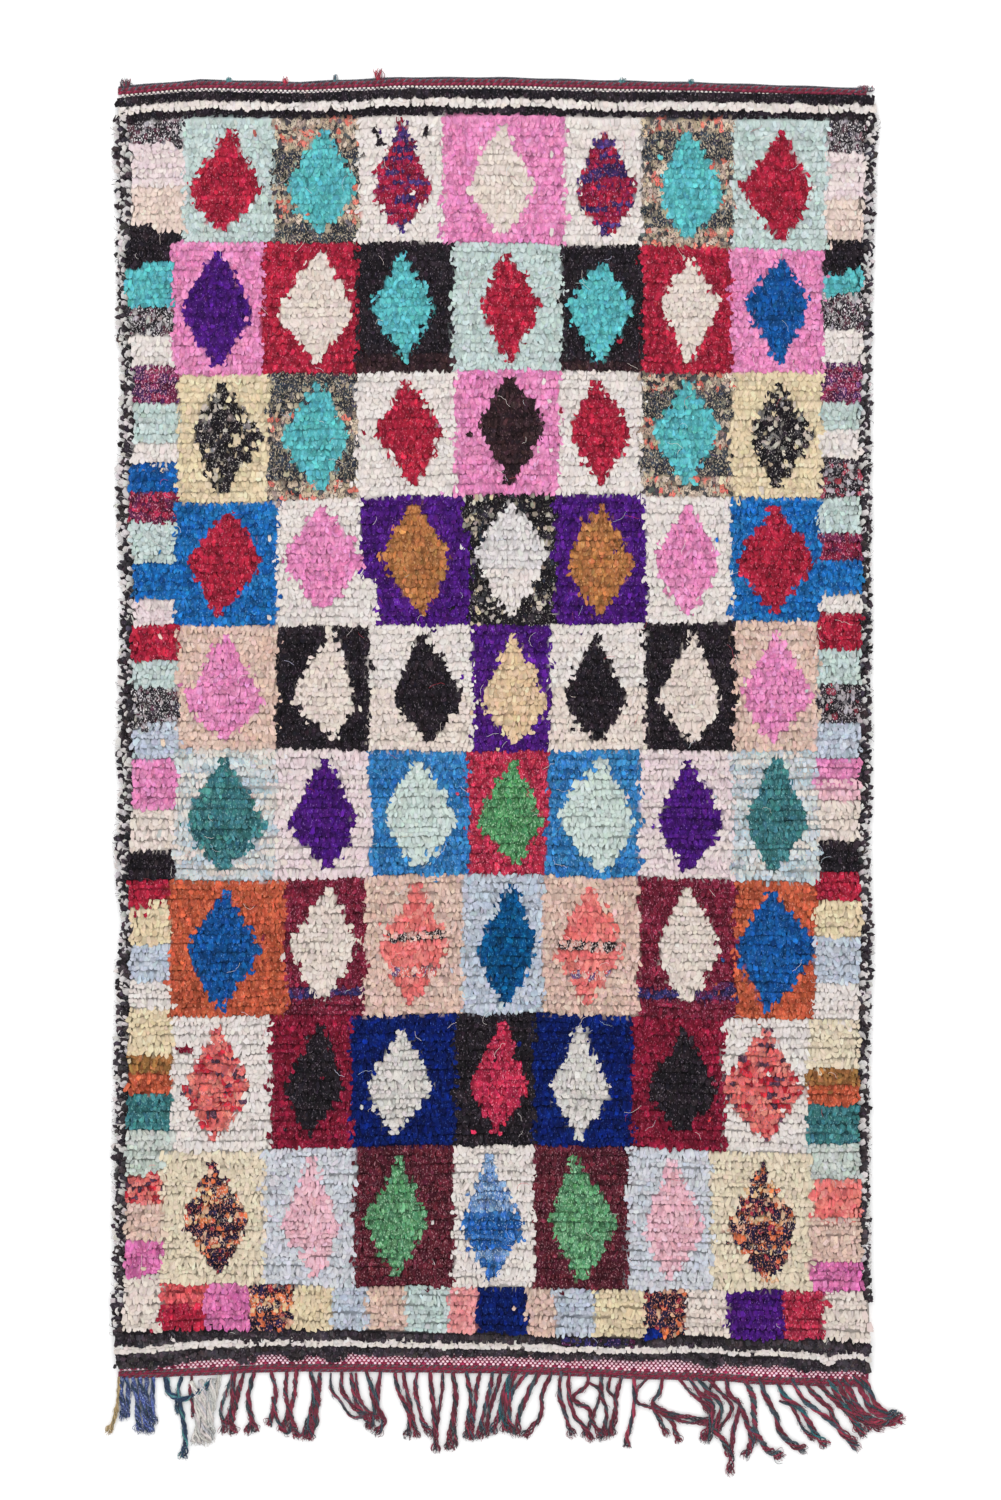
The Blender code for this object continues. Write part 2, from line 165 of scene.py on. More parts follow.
# A yarn's rags come in one or more shades, as screen colours out of 255. Its marl is the share
# of fine threads of another colour that run through it. One rag serves a run of knots along
# its row, this many millimetres long.
Yarn = collections.namedtuple("Yarn", "shades thread marl run", defaults=(45,))
YARNS = {
    "ruby": Yarn([(182, 37, 64), (168, 32, 58)], (216, 112, 130), 0.12),
    "mint": Yarn([(209, 224, 221), (203, 221, 218)], (222, 234, 230), 0.1),
    "turquoise": Yarn([(100, 198, 204), (92, 189, 198)], (140, 216, 218), 0.12),
    "white": Yarn([(247, 236, 230), (247, 238, 234)], (234, 222, 214), 0.04),
    "pink": Yarn([(248, 154, 203), (242, 142, 196)], (250, 182, 218), 0.12),
    "ivory": Yarn([(246, 231, 222), (244, 228, 217)], (230, 214, 202), 0.04),
    "purple": Yarn([(70, 18, 116), (80, 26, 128)], (136, 96, 178), 0.07),
    "black": Yarn([(30, 25, 32), (40, 32, 39)], (112, 102, 110), 0.11),
    "charcoal": Yarn([(60, 52, 58), (48, 42, 48), (72, 64, 70)], (108, 98, 106), 0.12),
    "cobalt": Yarn([(12, 82, 154), (22, 92, 166)], (90, 140, 204), 0.1),
    "blue": Yarn([(26, 110, 186), (36, 118, 190), (20, 98, 176)], (96, 156, 212), 0.12),
    "mid blue": Yarn([(54, 130, 196), (60, 138, 200), (44, 118, 186)], (120, 170, 216), 0.14),
    "cream": Yarn([(246, 226, 192), (242, 221, 184)], (230, 206, 164), 0.1),
    "pale cream": Yarn([(244, 228, 202)], (230, 212, 180), 0.1),
    "dark brown": Yarn([(46, 30, 36), (58, 38, 42)], (110, 84, 88), 0.1),
    "ochre": Yarn([(192, 127, 78), (184, 118, 70)], (214, 162, 118), 0.12),
    "grey white": Yarn([(240, 234, 232), (234, 228, 228)], (214, 208, 208), 0.06),
    "peach": Yarn([(240, 210, 196), (236, 202, 186)], (226, 182, 166), 0.1),
    "pale peach": Yarn([(247, 224, 212)], (236, 206, 192), 0.1),
    "sand": Yarn([(244, 213, 178), (238, 206, 168)], (224, 186, 146), 0.12),
    "teal": Yarn([(58, 116, 124), (68, 130, 134)], (126, 174, 176), 0.16),
    "pale blue": Yarn(
        [(214, 221, 227), (194, 212, 222), (236, 228, 220), (222, 227, 226)],
        (238, 204, 188),
        0.1,
    ),
    "pale pink": Yarn([(247, 227, 230), (246, 231, 228)], (232, 200, 208), 0.1),
    "pale mint": Yarn([(218, 233, 227)], (228, 239, 233), 0.1),
    "crimson": Yarn([(198, 50, 80), (182, 44, 72)], (230, 124, 142), 0.18),
    "green": Yarn([(88, 156, 102), (74, 142, 90)], (162, 206, 164), 0.22),
    "leaf": Yarn([(102, 162, 116), (86, 148, 102)], (170, 212, 176), 0.22),
    "rust": Yarn([(205, 97, 68), (196, 90, 62)], (226, 140, 112), 0.14),
    "maroon": Yarn([(128, 34, 58), (112, 28, 50)], (184, 110, 130), 0.16),
    "wine": Yarn([(142, 24, 54), (126, 22, 48)], (186, 90, 112), 0.14),
    "tan": Yarn([(238, 206, 192), (230, 196, 182)], (214, 172, 156), 0.12),
    "coral mix": Yarn(
        [
            (244, 118, 114), (247, 128, 120), (238, 106, 104), (249, 146, 134), (240, 116, 112),
            (196, 44, 60), (206, 52, 66), (84, 58, 76), (242, 124, 118), (250, 150, 138),
        ],
        (150, 96, 116),
        0.16,
        14,
    ),
    "salmon": Yarn([(252, 168, 168), (248, 158, 160)], (240, 120, 128), 0.12),
    "soft red": Yarn([(232, 98, 102), (224, 86, 92)], (244, 140, 136), 0.12),
    "coral": Yarn([(255, 134, 130), (252, 124, 122), (255, 146, 138)], (228, 86, 92), 0.1, 18),
    "coral marl": Yarn(
        [(240, 124, 118), (126, 92, 146), (236, 108, 106), (244, 190, 178)], (240, 222, 216), 0.26, 9
    ),
    "light blue": Yarn([(206, 213, 226), (198, 208, 224)], (222, 228, 236), 0.1),
    "grey blue": Yarn([(224, 225, 232), (216, 220, 230)], (234, 234, 238), 0.1),
    "petrol": Yarn([(0, 78, 134), (4, 86, 142)], (70, 146, 186), 0.1),
    "royal": Yarn([(0, 22, 94), (2, 30, 108)], (50, 78, 156), 0.09),
    "ivory grey": Yarn([(236, 230, 225), (228, 223, 219)], (206, 200, 198), 0.14),
    "raspberry": Yarn([(198, 47, 80), (184, 40, 74)], (230, 124, 146), 0.16),
    "light pink": Yarn([(252, 200, 212), (250, 190, 204)], (253, 216, 224), 0.12),
    "brown maroon": Yarn([(100, 34, 48), (84, 28, 42)], (164, 112, 120), 0.18),
    "denim": Yarn([(112, 152, 208), (132, 168, 214), (96, 138, 200)], (200, 214, 232), 0.24, 22),
    "denim dark": Yarn([(34, 98, 176), (56, 116, 188)], (150, 184, 222), 0.14),
    "red navy": Yarn(
        [(164, 34, 66), (60, 44, 104), (176, 38, 68), (74, 54, 118), (150, 32, 70)],
        (206, 140, 164),
        0.1,
        34,
    ),
    "speckled": Yarn(
        [
            (222, 200, 178), (208, 184, 158), (76, 74, 82), (214, 192, 168), (190, 168, 148),
            (60, 56, 64), (232, 214, 194), (158, 140, 128), (240, 124, 110), (200, 178, 156),
            (242, 136, 120), (84, 84, 88), (212, 188, 164), (218, 196, 174),
        ],
        (96, 88, 88),
        0.25,
        7,
    ),
    "pepper": Yarn(
        [(48, 43, 50), (44, 40, 46), (58, 50, 58), (176, 168, 172), (96, 60, 74)],
        (226, 219, 221),
        0.26,
        7,
    ),
    "dark pepper": Yarn(
        [(44, 39, 46), (40, 36, 42), (54, 46, 54), (150, 60, 78), (186, 178, 182)],
        (206, 196, 200),
        0.22,
        9,
    ),
    "pepper cream": Yarn(
        [
            (30, 26, 31), (32, 28, 32), (34, 29, 34), (30, 26, 32), (36, 32, 38), (40, 44, 54),
            (32, 28, 34), (34, 30, 36), (170, 158, 144),
        ],
        (190, 182, 172),
        0.05,
        8,
    ),
    "black cream": Yarn(
        [
            (34, 29, 34), (30, 26, 31), (206, 196, 182), (38, 32, 38), (32, 28, 33), (28, 24, 30),
            (222, 204, 172), (36, 31, 36), (32, 28, 34), (30, 26, 32), (132, 126, 126),
            (34, 29, 34), (64, 58, 64), (30, 26, 31),
        ],
        (206, 198, 192),
        0.12,
        9,
    ),
    "dark speckled": Yarn(
        [
            (52, 58, 70), (60, 66, 78), (46, 48, 58), (66, 76, 88), (56, 58, 68), (190, 176, 152),
            (50, 52, 62), (90, 86, 92),
        ],
        (188, 174, 152),
        0.28,
        8,
    ),
    "purple marl": Yarn([(120, 38, 78), (78, 42, 88), (148, 48, 82)], (214, 158, 182), 0.26, 20),
    "wine marl": Yarn([(158, 40, 70), (134, 34, 64), (104, 40, 76)], (214, 140, 160), 0.2, 26),
    "navy marl": Yarn([(50, 40, 88), (96, 36, 76), (56, 54, 116)], (150, 112, 160), 0.16, 18),
    "magenta": Yarn([(233, 127, 184), (224, 114, 176)], (244, 164, 208), 0.14),
    "brown ochre": Yarn([(164, 112, 66)], (186, 140, 96), 0.14),
    "grey mint": Yarn([(208, 218, 211), (216, 222, 215)], (230, 232, 226), 0.14),
    "navy orange": Yarn(
        [
            (30, 27, 54), (36, 32, 62), (28, 26, 50), (40, 30, 56), (34, 30, 58), (232, 118, 76),
            (32, 28, 56), (150, 44, 66), (34, 30, 60), (236, 190, 160),
        ],
        (226, 150, 126),
        0.22,
        6,
    ),
    "orange navy": Yarn(
        [(236, 132, 82), (48, 36, 66), (244, 196, 146), (40, 32, 60), (228, 108, 76)],
        (238, 208, 190),
        0.26,
        6,
    ),
    "black coral": Yarn([(34, 29, 34), (236, 170, 160), (40, 32, 40)], (238, 214, 208), 0.3, 7),
    "slate": Yarn([(92, 88, 100), (78, 74, 86)], (150, 146, 156), 0.2),
    "dark red": Yarn([(122, 34, 56), (108, 30, 50), (134, 40, 62)], (84, 66, 78), 0.22),
    "cord red": Yarn([(126, 32, 58), (118, 28, 54), (134, 37, 65)], (164, 76, 98), 0.12),
    "slate green": Yarn([(56, 58, 66), (46, 50, 58), (44, 68, 78)], (110, 116, 122), 0.16),
    "pink weave": Yarn([(254, 206, 220), (255, 214, 226)], (244, 170, 194), 0.04, 12),
    "rose": Yarn([(158, 44, 80), (146, 38, 74)], (150, 50, 84), 0.1),
    "periwinkle": Yarn([(42, 56, 112), (52, 68, 130), (32, 44, 94)], (160, 174, 208), 0.24),
    "sea": Yarn([(30, 92, 102), (56, 60, 78)], (110, 156, 162), 0.16),
    "tan yellow": Yarn([(178, 152, 104), (160, 136, 98)], (206, 186, 146), 0.2),
    "grey beige": Yarn([(196, 191, 187), (174, 171, 170), (208, 203, 197)], (230, 227, 222), 0.2),
    "navy teal": Yarn([(30, 48, 76)], (80, 110, 130), 0.15),
}
YARN_NAMES = list(YARNS)
RAG_TABLE = 211  # rags before the choice repeats within a row
RAG_START = 40  # how many rags into its table a row may begin
RAG_CHANGE = 0.09  # how far the rags of one yarn differ in brightness
RAG_DEPTH = 1.5  # dark rags differ more: by this much less their own brightness
DARK_VARIETY = 4.0  # how much more than asked black knots differ from each other
PALE_CALM = 3.8  # how much of that is lost in a white one
TINT_SHARE = 0.3  # how far knots differ in tint, as a share of how they differ in brightness


def yarn_number(name):
    return YARN_NAMES.index(name)


def numbers(names):
    return np.array([yarn_number(name) for name in names])


def linear(screen):
    """Screen colours out of 255, as the light they stand for."""
    level = np.asarray(screen, float) / 255
    return np.where(level <= 0.04045, level / 12.92, ((level + 0.055) / 1.055) ** 2.4)


def yarn_colours(luck, yarns, vary, along_row=None):
    """A shade, a thread colour and a marl for each of these yarns, given by number. vary is how
    far their brightness differs. Where their places along a row are given, knots of one run
    share a rag."""
    count = len(yarns)
    shade = np.zeros((count, 3))
    thread = np.zeros((count, 3))
    marl = np.zeros(count)
    rag_luck = luck.random(RAG_TABLE)
    for number in np.unique(yarns):
        yarn = YARNS[YARN_NAMES[number]]
        mine = yarns == number
        shades = linear(yarn.shades)
        if along_row is None:
            pick = luck.random(mine.sum())
            change = 0
        else:
            rag = (along_row[mine] / MM / yarn.run + RAG_START * rag_luck[0]).astype(int) % RAG_TABLE
            pick = rag_luck[rag]
            depth = RAG_DEPTH - shades.mean()
            change = RAG_CHANGE * depth * (2 * rag_luck[rag - 1] - 1)[:, None]
        shade[mine] = shades[(pick * len(shades)).astype(int)] * np.exp(change)
        thread[mine] = linear(yarn.thread)
        marl[mine] = yarn.marl
    vary = vary * (DARK_VARIETY - PALE_CALM * shade.mean(1, keepdims=True))
    brightness = np.exp(vary * luck.standard_normal((count, 1)))
    tint = np.exp(TINT_SHARE * vary * luck.standard_normal((count, 3)))
    return np.clip(shade * brightness * tint, 0, 1), thread, marl


# The chart

# A row of tiles has the left edge of its first tile, how full its lozenges are above and
# below their widest place, and its tiles.
TileRow = collections.namedtuple("TileRow", "left upper lower tiles")
Tile = collections.namedtuple("Tile", "right ground motif tip_x tip_y left wide right_x end_x end_y")
TILE_ROWS = [
    TileRow(184, 1.15, 1.7, [
        Tile(273, "mint", "ruby", 230, 128, 188, 188, 260, 220, 232),
        Tile(358, "speckled", "turquoise", 323, 128, 286, 186, 356, 320, 233),
        Tile(442, "white", "red navy", 402, 120, 372, 188, 432, 400, 231),
        Tile(565, "pink", "ivory", 500, 122, 468, 188, 536, 503, 235),
        Tile(642, "white", "red navy", 604, 128, 576, 188, 639, 605, 238),
        Tile(733, "speckled", "turquoise", 687, 128, 657, 190, 725, 688, 239),
        Tile(827, "mint", "ruby", 783, 131, 742, 186, 811, 781, 241),
    ]),
    TileRow(172, 1.15, 1.25, [
        Tile(262, "pink", "purple", 217, 248, 178, 311, 254, 218, 368),
        Tile(357, "ruby", "ivory", 320, 248, 276, 310, 354, 317, 363),
        Tile(453, "black", "turquoise", 402, 250, 372, 308, 435, 405, 361),
        Tile(562, "mint", "ruby", 506, 250, 480, 303, 541, 509, 363),
        Tile(643, "black", "turquoise", 600, 261, 566, 307, 634, 600, 365),
        Tile(731, "ruby", "ivory", 690, 259, 659, 303, 720, 690, 363),
        Tile(822, "pink", "cobalt", 780, 259, 745, 300, 811, 780, 365),
    ]),
    TileRow(178, 1.2, 1.25, [
        Tile(268, "cream", "black cream", 220, 383, 191, 435, 264, 221, 497),
        Tile(356, "speckled", "turquoise", 320, 380, 279, 438, 349, 322, 493),
        Tile(455, "white", "ruby", 405, 380, 375, 430, 444, 413, 488),
        Tile(560, "pink", "dark brown", 509, 376, 478, 425, 546, 511, 485),
        Tile(642, "white", "ruby", 596, 379, 568, 430, 633, 601, 487),
        Tile(732, "speckled", "turquoise", 687, 381, 652, 430, 721, 685, 488),
        Tile(822, "cream", "black cream", 778, 381, 747, 435, 815, 776, 491),
    ]),
    TileRow(174, 1.2, 1.35, [
        Tile(276, "blue", "ruby", 230, 509, 187, 558, 262, 220, 617),
        Tile(364, "white", "pink", 322, 504, 282, 560, 364, 323, 613),
        Tile(470, "purple", "ochre", 414, 503, 380, 556, 451, 422, 615),
        Tile(555, "pepper cream", "grey white", 511, 501, 474, 553, 549, 510, 618),
        Tile(645, "purple", "ochre", 599, 501, 567, 563, 635, 598, 617),
        Tile(732, "white", "pink", 687, 504, 654, 561, 720, 687, 617),
        Tile(820, "blue", "ruby", 775, 504, 736, 560, 815, 774, 613),
    ]),
    TileRow(178, 1.1, 1.45, [
        Tile(277, "peach", "pink", 226, 634, 183, 700, 265, 223, 741),
        Tile(370, "black", "ivory", 332, 629, 290, 698, 355, 333, 738),
        Tile(473, "white", "black", 422, 630, 392, 696, 464, 430, 743),
        Tile(550, "purple", "sand", 513, 634, 480, 700, 549, 516, 745),
        Tile(645, "white", "black", 595, 633, 562, 698, 628, 596, 743),
        Tile(735, "black", "ivory", 693, 631, 657, 698, 721, 694, 745),
        Tile(818, "peach", "pink", 776, 631, 740, 693, 814, 774, 743),
    ]),
    TileRow(175, 1.25, 1.6, [
        Tile(275, "pale blue", "teal", 222, 757, 187, 822, 266, 222, 874),
        Tile(370, "pale pink", "purple", 326, 756, 288, 822, 357, 327, 870),
        Tile(468, "mid blue", "pale mint", 417, 757, 383, 817, 457, 420, 869),
        Tile(548, "crimson", "green", 513, 760, 477, 820, 542, 516, 863),
        Tile(640, "mid blue", "pale mint", 598, 756, 558, 817, 634, 604, 874),
        Tile(733, "pale pink", "purple", 687, 759, 659, 822, 724, 688, 874),
        Tile(818, "pale blue", "teal", 775, 756, 745, 820, 809, 773, 875),
    ]),
    TileRow(170, 1.25, 1.4, [
        Tile(285, "rust", "cobalt", 226, 892, 186, 948, 260, 220, 1010),
        Tile(365, "maroon", "ivory", 329, 887, 289, 948, 358, 322, 1003),
        Tile(463, "tan", "coral", 418, 881, 380, 948, 449, 410, 1007),
        Tile(543, "light blue", "petrol", 512, 883, 477, 946, 538, 505, 1010),
        Tile(638, "tan", "coral", 590, 884, 556, 948, 623, 586, 1007),
        Tile(735, "maroon", "ivory", 688, 888, 657, 948, 720, 686, 1007),
        Tile(815, "rust", "cobalt", 771, 893, 736, 948, 818, 769, 1013),
    ]),
    TileRow(172, 1.1, 1.35, [
        Tile(270, "white", "coral mix", 217, 1025, 183, 1088, 251, 213, 1144),
        Tile(352, "wine", "black", 320, 1021, 284, 1086, 345, 308, 1138),
        Tile(455, "royal", "ivory grey", 402, 1027, 367, 1086, 433, 394, 1136),
        Tile(535, "black", "raspberry", 503, 1018, 470, 1086, 528, 498, 1133),
        Tile(633, "royal", "ivory grey", 581, 1026, 550, 1091, 612, 579, 1136),
        Tile(725, "wine", "black", 684, 1029, 644, 1091, 721, 681, 1134),
        Tile(808, "white", "coral mix", 766, 1030, 720, 1088, 804, 764, 1144),
    ]),
    TileRow(162, 1.05, 1.2, [
        Tile(264, "pale cream", "navy orange", 213, 1161, 182, 1220, 251, 217, 1278),
        Tile(354, "grey blue", "light pink", 312, 1158, 279, 1225, 341, 317, 1282),
        Tile(452, "brown maroon", "leaf", 400, 1160, 364, 1220, 430, 395, 1280),
        Tile(535, "white", "denim", 490, 1156, 459, 1225, 525, 489, 1284),
        Tile(628, "brown maroon", "leaf", 573, 1156, 548, 1222, 619, 581, 1285),
        Tile(712, "grey blue", "light pink", 671, 1157, 643, 1227, 707, 669, 1285),
        Tile(812, "pale cream", "navy orange", 762, 1165, 725, 1227, 799, 769, 1287),
    ]),
]
# The lines between the rows of tiles, by their height at the left, middle and right lozenge.
RowLine = collections.namedtuple("RowLine", "left middle right")
ROW_LINES = [
    RowLine(242, 243, 250), RowLine(375, 370, 373), RowLine(503, 494, 498),
    RowLine(626, 626, 622), RowLine(749, 752, 750), RowLine(882, 874, 883),
    RowLine(1018, 1014, 1021), RowLine(1152, 1145, 1154), RowLine(1285, 1289, 1292),
]
LINE_PLACES = (220, 500, 780)

# The narrow patches beside the tiles, by where each one ends.
LEFT_PATCHES = [
    (145, "pepper"), (185, "pale pink"), (228, "pale peach"), (266, "black"),
    (305, "turquoise"), (332, "pepper"), (370, "white"), (407, "purple marl"), (440, "mint"),
    (467, "white"), (495, "cobalt"), (525, "wine marl"), (562, "mint"), (597, "blue"),
    (625, "pale pink"), (660, "ruby"), (690, "mint"), (727, "pepper"), (762, "light blue"),
    (808, "pink"), (852, "ivory"), (882, "black"), (905, "ruby"), (942, "cream"),
    (985, "light blue"), (1012, "white"), (1058, "cream"), (1073, "brown ochre"),
    (1095, "rust"), (1132, "teal"), (1175, "grey mint"), (1207, "coral mix"), (1243, "tan"),
    (1280, "magenta"), (1340, "ivory"),
]
RIGHT_PATCHES = [
    (155, "pepper"), (198, "pale pink"), (240, "pale peach"), (272, "black"), (297, "turquoise"),
    (332, "pepper"), (367, "white"), (402, "purple marl"), (432, "mint"), (455, "white"),
    (500, "dark pepper"), (535, "mint"), (560, "wine marl"), (592, "blue"), (615, "white"),
    (650, "ruby"), (685, "mint"), (722, "dark pepper"), (760, "light blue"), (785, "pink"),
    (803, "light pink"), (845, "ivory"), (877, "black"), (902, "ruby"), (940, "cream"),
    (985, "light blue"), (1025, "white"), (1068, "pale cream"), (1085, "brown ochre"),
    (1103, "rust"), (1148, "teal"), (1180, "grey mint"), (1222, "coral"), (1262, "tan"),
    (1295, "magenta"), (1340, "ivory"),
]
FOOT_PATCHES = [
    (160, "ivory"), (205, "ruby"), (250, "magenta"), (293, "navy orange"), (332, "cream"),
    (367, "light blue"), (405, "tan"), (447, "mint"), (478, "salmon"), (527, "royal"),
    (555, "tan"), (595, "light blue"), (645, "cream"), (685, "navy orange"), (728, "ivory"),
    (783, "purple"), (825, "crimson"), (870, "ivory"),
]

# Where the weaver ran short of a rag: inside these boxes, one yarn gives way to another.
Box = collections.namedtuple("Box", "left right top bottom")
Change = collections.namedtuple("Change", "old new boxes")
CHANGES = [
    Change("speckled", "dark speckled", [
        Box(273, 358, 150, 188), Box(273, 358, 222, 243), Box(642, 733, 132, 160),
        Box(642, 733, 205, 228), Box(268, 356, 372, 411), Box(268, 356, 443, 478),
        Box(642, 732, 392, 420), Box(642, 732, 452, 480),
    ]),
    Change("white", "black", [
        Box(375, 381, 126, 135), Box(378, 384, 137, 148), Box(425, 430, 128, 137),
    ]),
    Change("black", "dark brown", [Box(357, 453, 356, 372), Box(562, 643, 360, 372)]),
    Change("purple", "pepper cream", [Box(462, 471, 494, 531)]),
    Change("pepper cream", "black cream", [
        Box(462, 492, 496, 522), Box(536, 556, 512, 562), Box(466, 502, 590, 628),
        Box(526, 556, 588, 628),
    ]),
    Change("grey white", "white", [Box(476, 553, 574, 620)]),
    Change("white", "purple", [Box(360, 366, 499, 575)]),
    Change("purple", "white", [Box(362, 378, 582, 626)]),
    Change("white", "ivory", [Box(364, 470, 690, 750), Box(550, 645, 690, 750)]),
    Change("coral", "black coral", [Box(388, 445, 934, 943), Box(556, 620, 940, 949)]),
    Change("coral", "coral marl", [Box(392, 436, 966, 978), Box(570, 612, 968, 980)]),
    Change("maroon", "navy marl", [Box(285, 365, 987, 1001), Box(638, 735, 987, 1001)]),
    Change("white", "wine", [Box(178, 193, 1044, 1054)]),
    Change("cream", "brown ochre", [Box(132, 180, 1060, 1075)]),
    Change("denim", "denim dark", [Box(450, 535, 1214, 1248), Box(450, 535, 1262, 1289)]),
    Change("navy orange", "orange navy", [
        Box(182, 251, 1190, 1202), Box(182, 251, 1216, 1226), Box(182, 251, 1240, 1252),
        Box(725, 799, 1180, 1200), Box(725, 799, 1214, 1224), Box(725, 799, 1244, 1254),
        Box(725, 799, 1272, 1289), Box(250, 293, 1298, 1312),
    ]),
    Change("navy orange", "royal", [Box(645, 662, 1332, 1345)]),
    Change("ruby", "soft red", [Box(160, 205, 1288, 1308)]),
]
NECK = 4.6  # half the width of a lozenge at its tips, in chart steps
LOZENGE_SHARE = 0.97  # a lozenge's width without its stray spikes
TIP_SHARE = 0.97  # how far towards its tip a row of knots still belongs to a lozenge


def patch_yarns(ends, places):
    """The yarn number of the patch that each place falls in."""
    limits = [end for end, _ in ends[:-1]]
    yarns = numbers([yarn for _, yarn in ends])
    return yarns[np.searchsorted(limits, places, side="right")]


def in_lozenge(row, tile, x, y):
    """Whether each place lies inside the tile's lozenge."""
    above = y < tile.wide
    tip_x = np.where(above, tile.tip_x, tile.end_x)
    tip_y = np.where(above, tile.tip_y, tile.end_y)
    away = (y - tile.wide) / (tip_y - tile.wide)
    fullness = np.where(above, row.upper, row.lower)
    inside = np.clip(away, 0, 1)
    middle = (tile.left + tile.right_x) / 2
    centre = middle + (tip_x - middle) * inside
    half = LOZENGE_SHARE * (tile.right_x - tile.left) / 2 * (1 - inside**fullness)
    return (away <= TIP_SHARE) & (np.abs(x - centre) < np.maximum(half, NECK))


def row_line(number, x):
    """The line above this row of tiles; the last ones lie above and below the foot patches."""
    if number == 0:
        real_x = (x - CHART_MIDDLE[0]) * CHART_STEP
        start = cloth_top(real_x) + head_rise(real_x) - HEAD_PILE_START
        return CHART_MIDDLE[1] - start / CHART_STEP
    if number > len(ROW_LINES):
        real_x = (x - CHART_MIDDLE[0]) * CHART_STEP
        return CHART_MIDDLE[1] - foot_band_line(real_x, 2) / CHART_STEP
    return np.interp(x, LINE_PLACES, ROW_LINES[number - 1])


def charted_yarns(x, y):
    """The yarn number at each place of the chart."""
    yarns = np.zeros(x.shape, int)
    for number, row in enumerate(TILE_ROWS):
        here = y < row_line(number + 1, x)
        if number > 0:
            here &= y >= row_line(number, x)
        left = row.left
        yarns[here & (x < left)] = patch_yarns(LEFT_PATCHES, y[here & (x < left)])
        for tile in row.tiles:
            mine = here & (x >= left) & (x < tile.right)
            yarns[mine] = yarn_number(tile.ground)
            yarns[mine & in_lozenge(row, tile, x, y)] = yarn_number(tile.motif)
            left = tile.right
        beyond = here & (x >= left)
        yarns[beyond] = patch_yarns(RIGHT_PATCHES, y[beyond])
    foot = y >= row_line(len(TILE_ROWS), x)
    yarns[foot] = patch_yarns(FOOT_PATCHES, x[foot])
    for change in CHANGES:
        for box in change.boxes:
            here = (x > box.left) & (x < box.right) & (y > box.top) & (y < box.bottom)
            yarns[here & (yarns == yarn_number(change.old))] = yarn_number(change.new)
    return yarns


# Meshes from arrays

# Points and faces of many like shapes, with each point's colours.
Batch = collections.namedtuple("Batch", "points faces shade thread marl")
CRISP_ANGLE = math.radians(80)


def piece(name, batches, material, crisp=False):
    """One mesh object from these batches, riding on the rug's only body. A crisp one keeps
    the thin edges of its rags sharp."""
    points = np.concatenate([b.points for b in batches])
    faces = []
    start = 0
    for batch in batches:
        for group in batch.faces:
            faces.extend((group + start).tolist())
        start += len(batch.points)
    mesh = bpy.data.meshes.new(name)
    mesh.from_pydata(points.tolist(), [], faces)
    for title in ("shade", "thread"):
        colours = np.concatenate([getattr(b, title) for b in batches])
        colours = np.concatenate([colours, np.ones((len(colours), 1))], axis=1)
        layer = mesh.attributes.new(title, "FLOAT_COLOR", "POINT")
        layer.data.foreach_set("color", colours.astype(np.float32).ravel())
    layer = mesh.attributes.new("marl", "FLOAT", "POINT")
    marl = np.concatenate([b.marl for b in batches])
    layer.data.foreach_set("value", marl.astype(np.float32))
    mesh.shade_smooth()
    if crisp:
        mesh.set_sharp_from_angle(angle=CRISP_ANGLE)
    mesh.materials.append(material)
    obj = bpy.data.objects.new(name, mesh)
    bpy.context.scene.collection.objects.link(obj)
    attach(obj, "root")
    return obj


def spread(colours, count):
    """Each shape's colours, given to all its points."""
    shade, thread, marl = colours
    return np.repeat(shade, count, 0), np.repeat(thread, count, 0), np.repeat(marl, count)


def varied(luck, spread, count):
    """Factors around 1 that differ by about this share."""
    return np.exp(spread * luck.standard_normal(count))


def unit(vectors):
    return vectors / np.linalg.norm(vectors, axis=-1, keepdims=True)


def ring_quads(rings, corners):
    """The quads between rings of so many corners each, one ring after another."""
    return [
        (r * corners + k, r * corners + (k + 1) % corners,
         (r + 1) * corners + (k + 1) % corners, (r + 1) * corners + k)
        for r in range(rings - 1)
        for k in range(corners)
    ]


def repeated(groups, count, points):
    """The faces of this many shapes of so many points each, from the faces of one of them."""
    starts = (np.arange(count) * points)[:, None, None]
    return [(np.array(group) + starts).reshape(-1, len(group[0])) for group in groups]


def grid_faces(rows, columns):
    """The quads of a grid of points, and the points round its rim in order."""
    grid = np.arange(rows * columns).reshape(rows, columns)
    quads = np.stack([grid[:-1, :-1], grid[:-1, 1:], grid[1:, 1:], grid[1:, :-1]], -1)
    rim = np.concatenate([grid[0, :], grid[1:, -1], grid[-1, -2::-1], grid[-2:0:-1, 0]])
    return quads.reshape(-1, 4), rim


def walls(upper, lower):
    """The quads that join an upper loop of points to a lower one."""
    return np.stack([lower, np.roll(lower, -1), np.roll(upper, -1), upper], 1)


# A tuft's course from its root: how far along it, how high, how wide and how thick, as shares.
TuftRing = collections.namedtuple("TuftRing", "reach rise width thickness")
DROOPING = [
    TuftRing(0.0, 0.0, 0.85, 0.9),
    TuftRing(0.74, 1.0, 1.0, 1.0),
    TuftRing(1.0, 0.5, 0.0, 0.0),
]
SECTION = np.array([(-1.0, -0.5), (0.0, 1.0), (1.0, -0.5)])
TUFT_POINTS = len(SECTION) * (len(DROOPING) - 1) + 1
UP = np.array((0.0, 0.0, 1.0))
TUFT_BEND = 0.16  # how far tufts bend aside, as a share of their length
TUFT_ROLL = 0.2  # how far they roll about their length, in radians
RING_RISE_SPREAD = 0.08
RING_WIDTH_SPREAD = 0.1


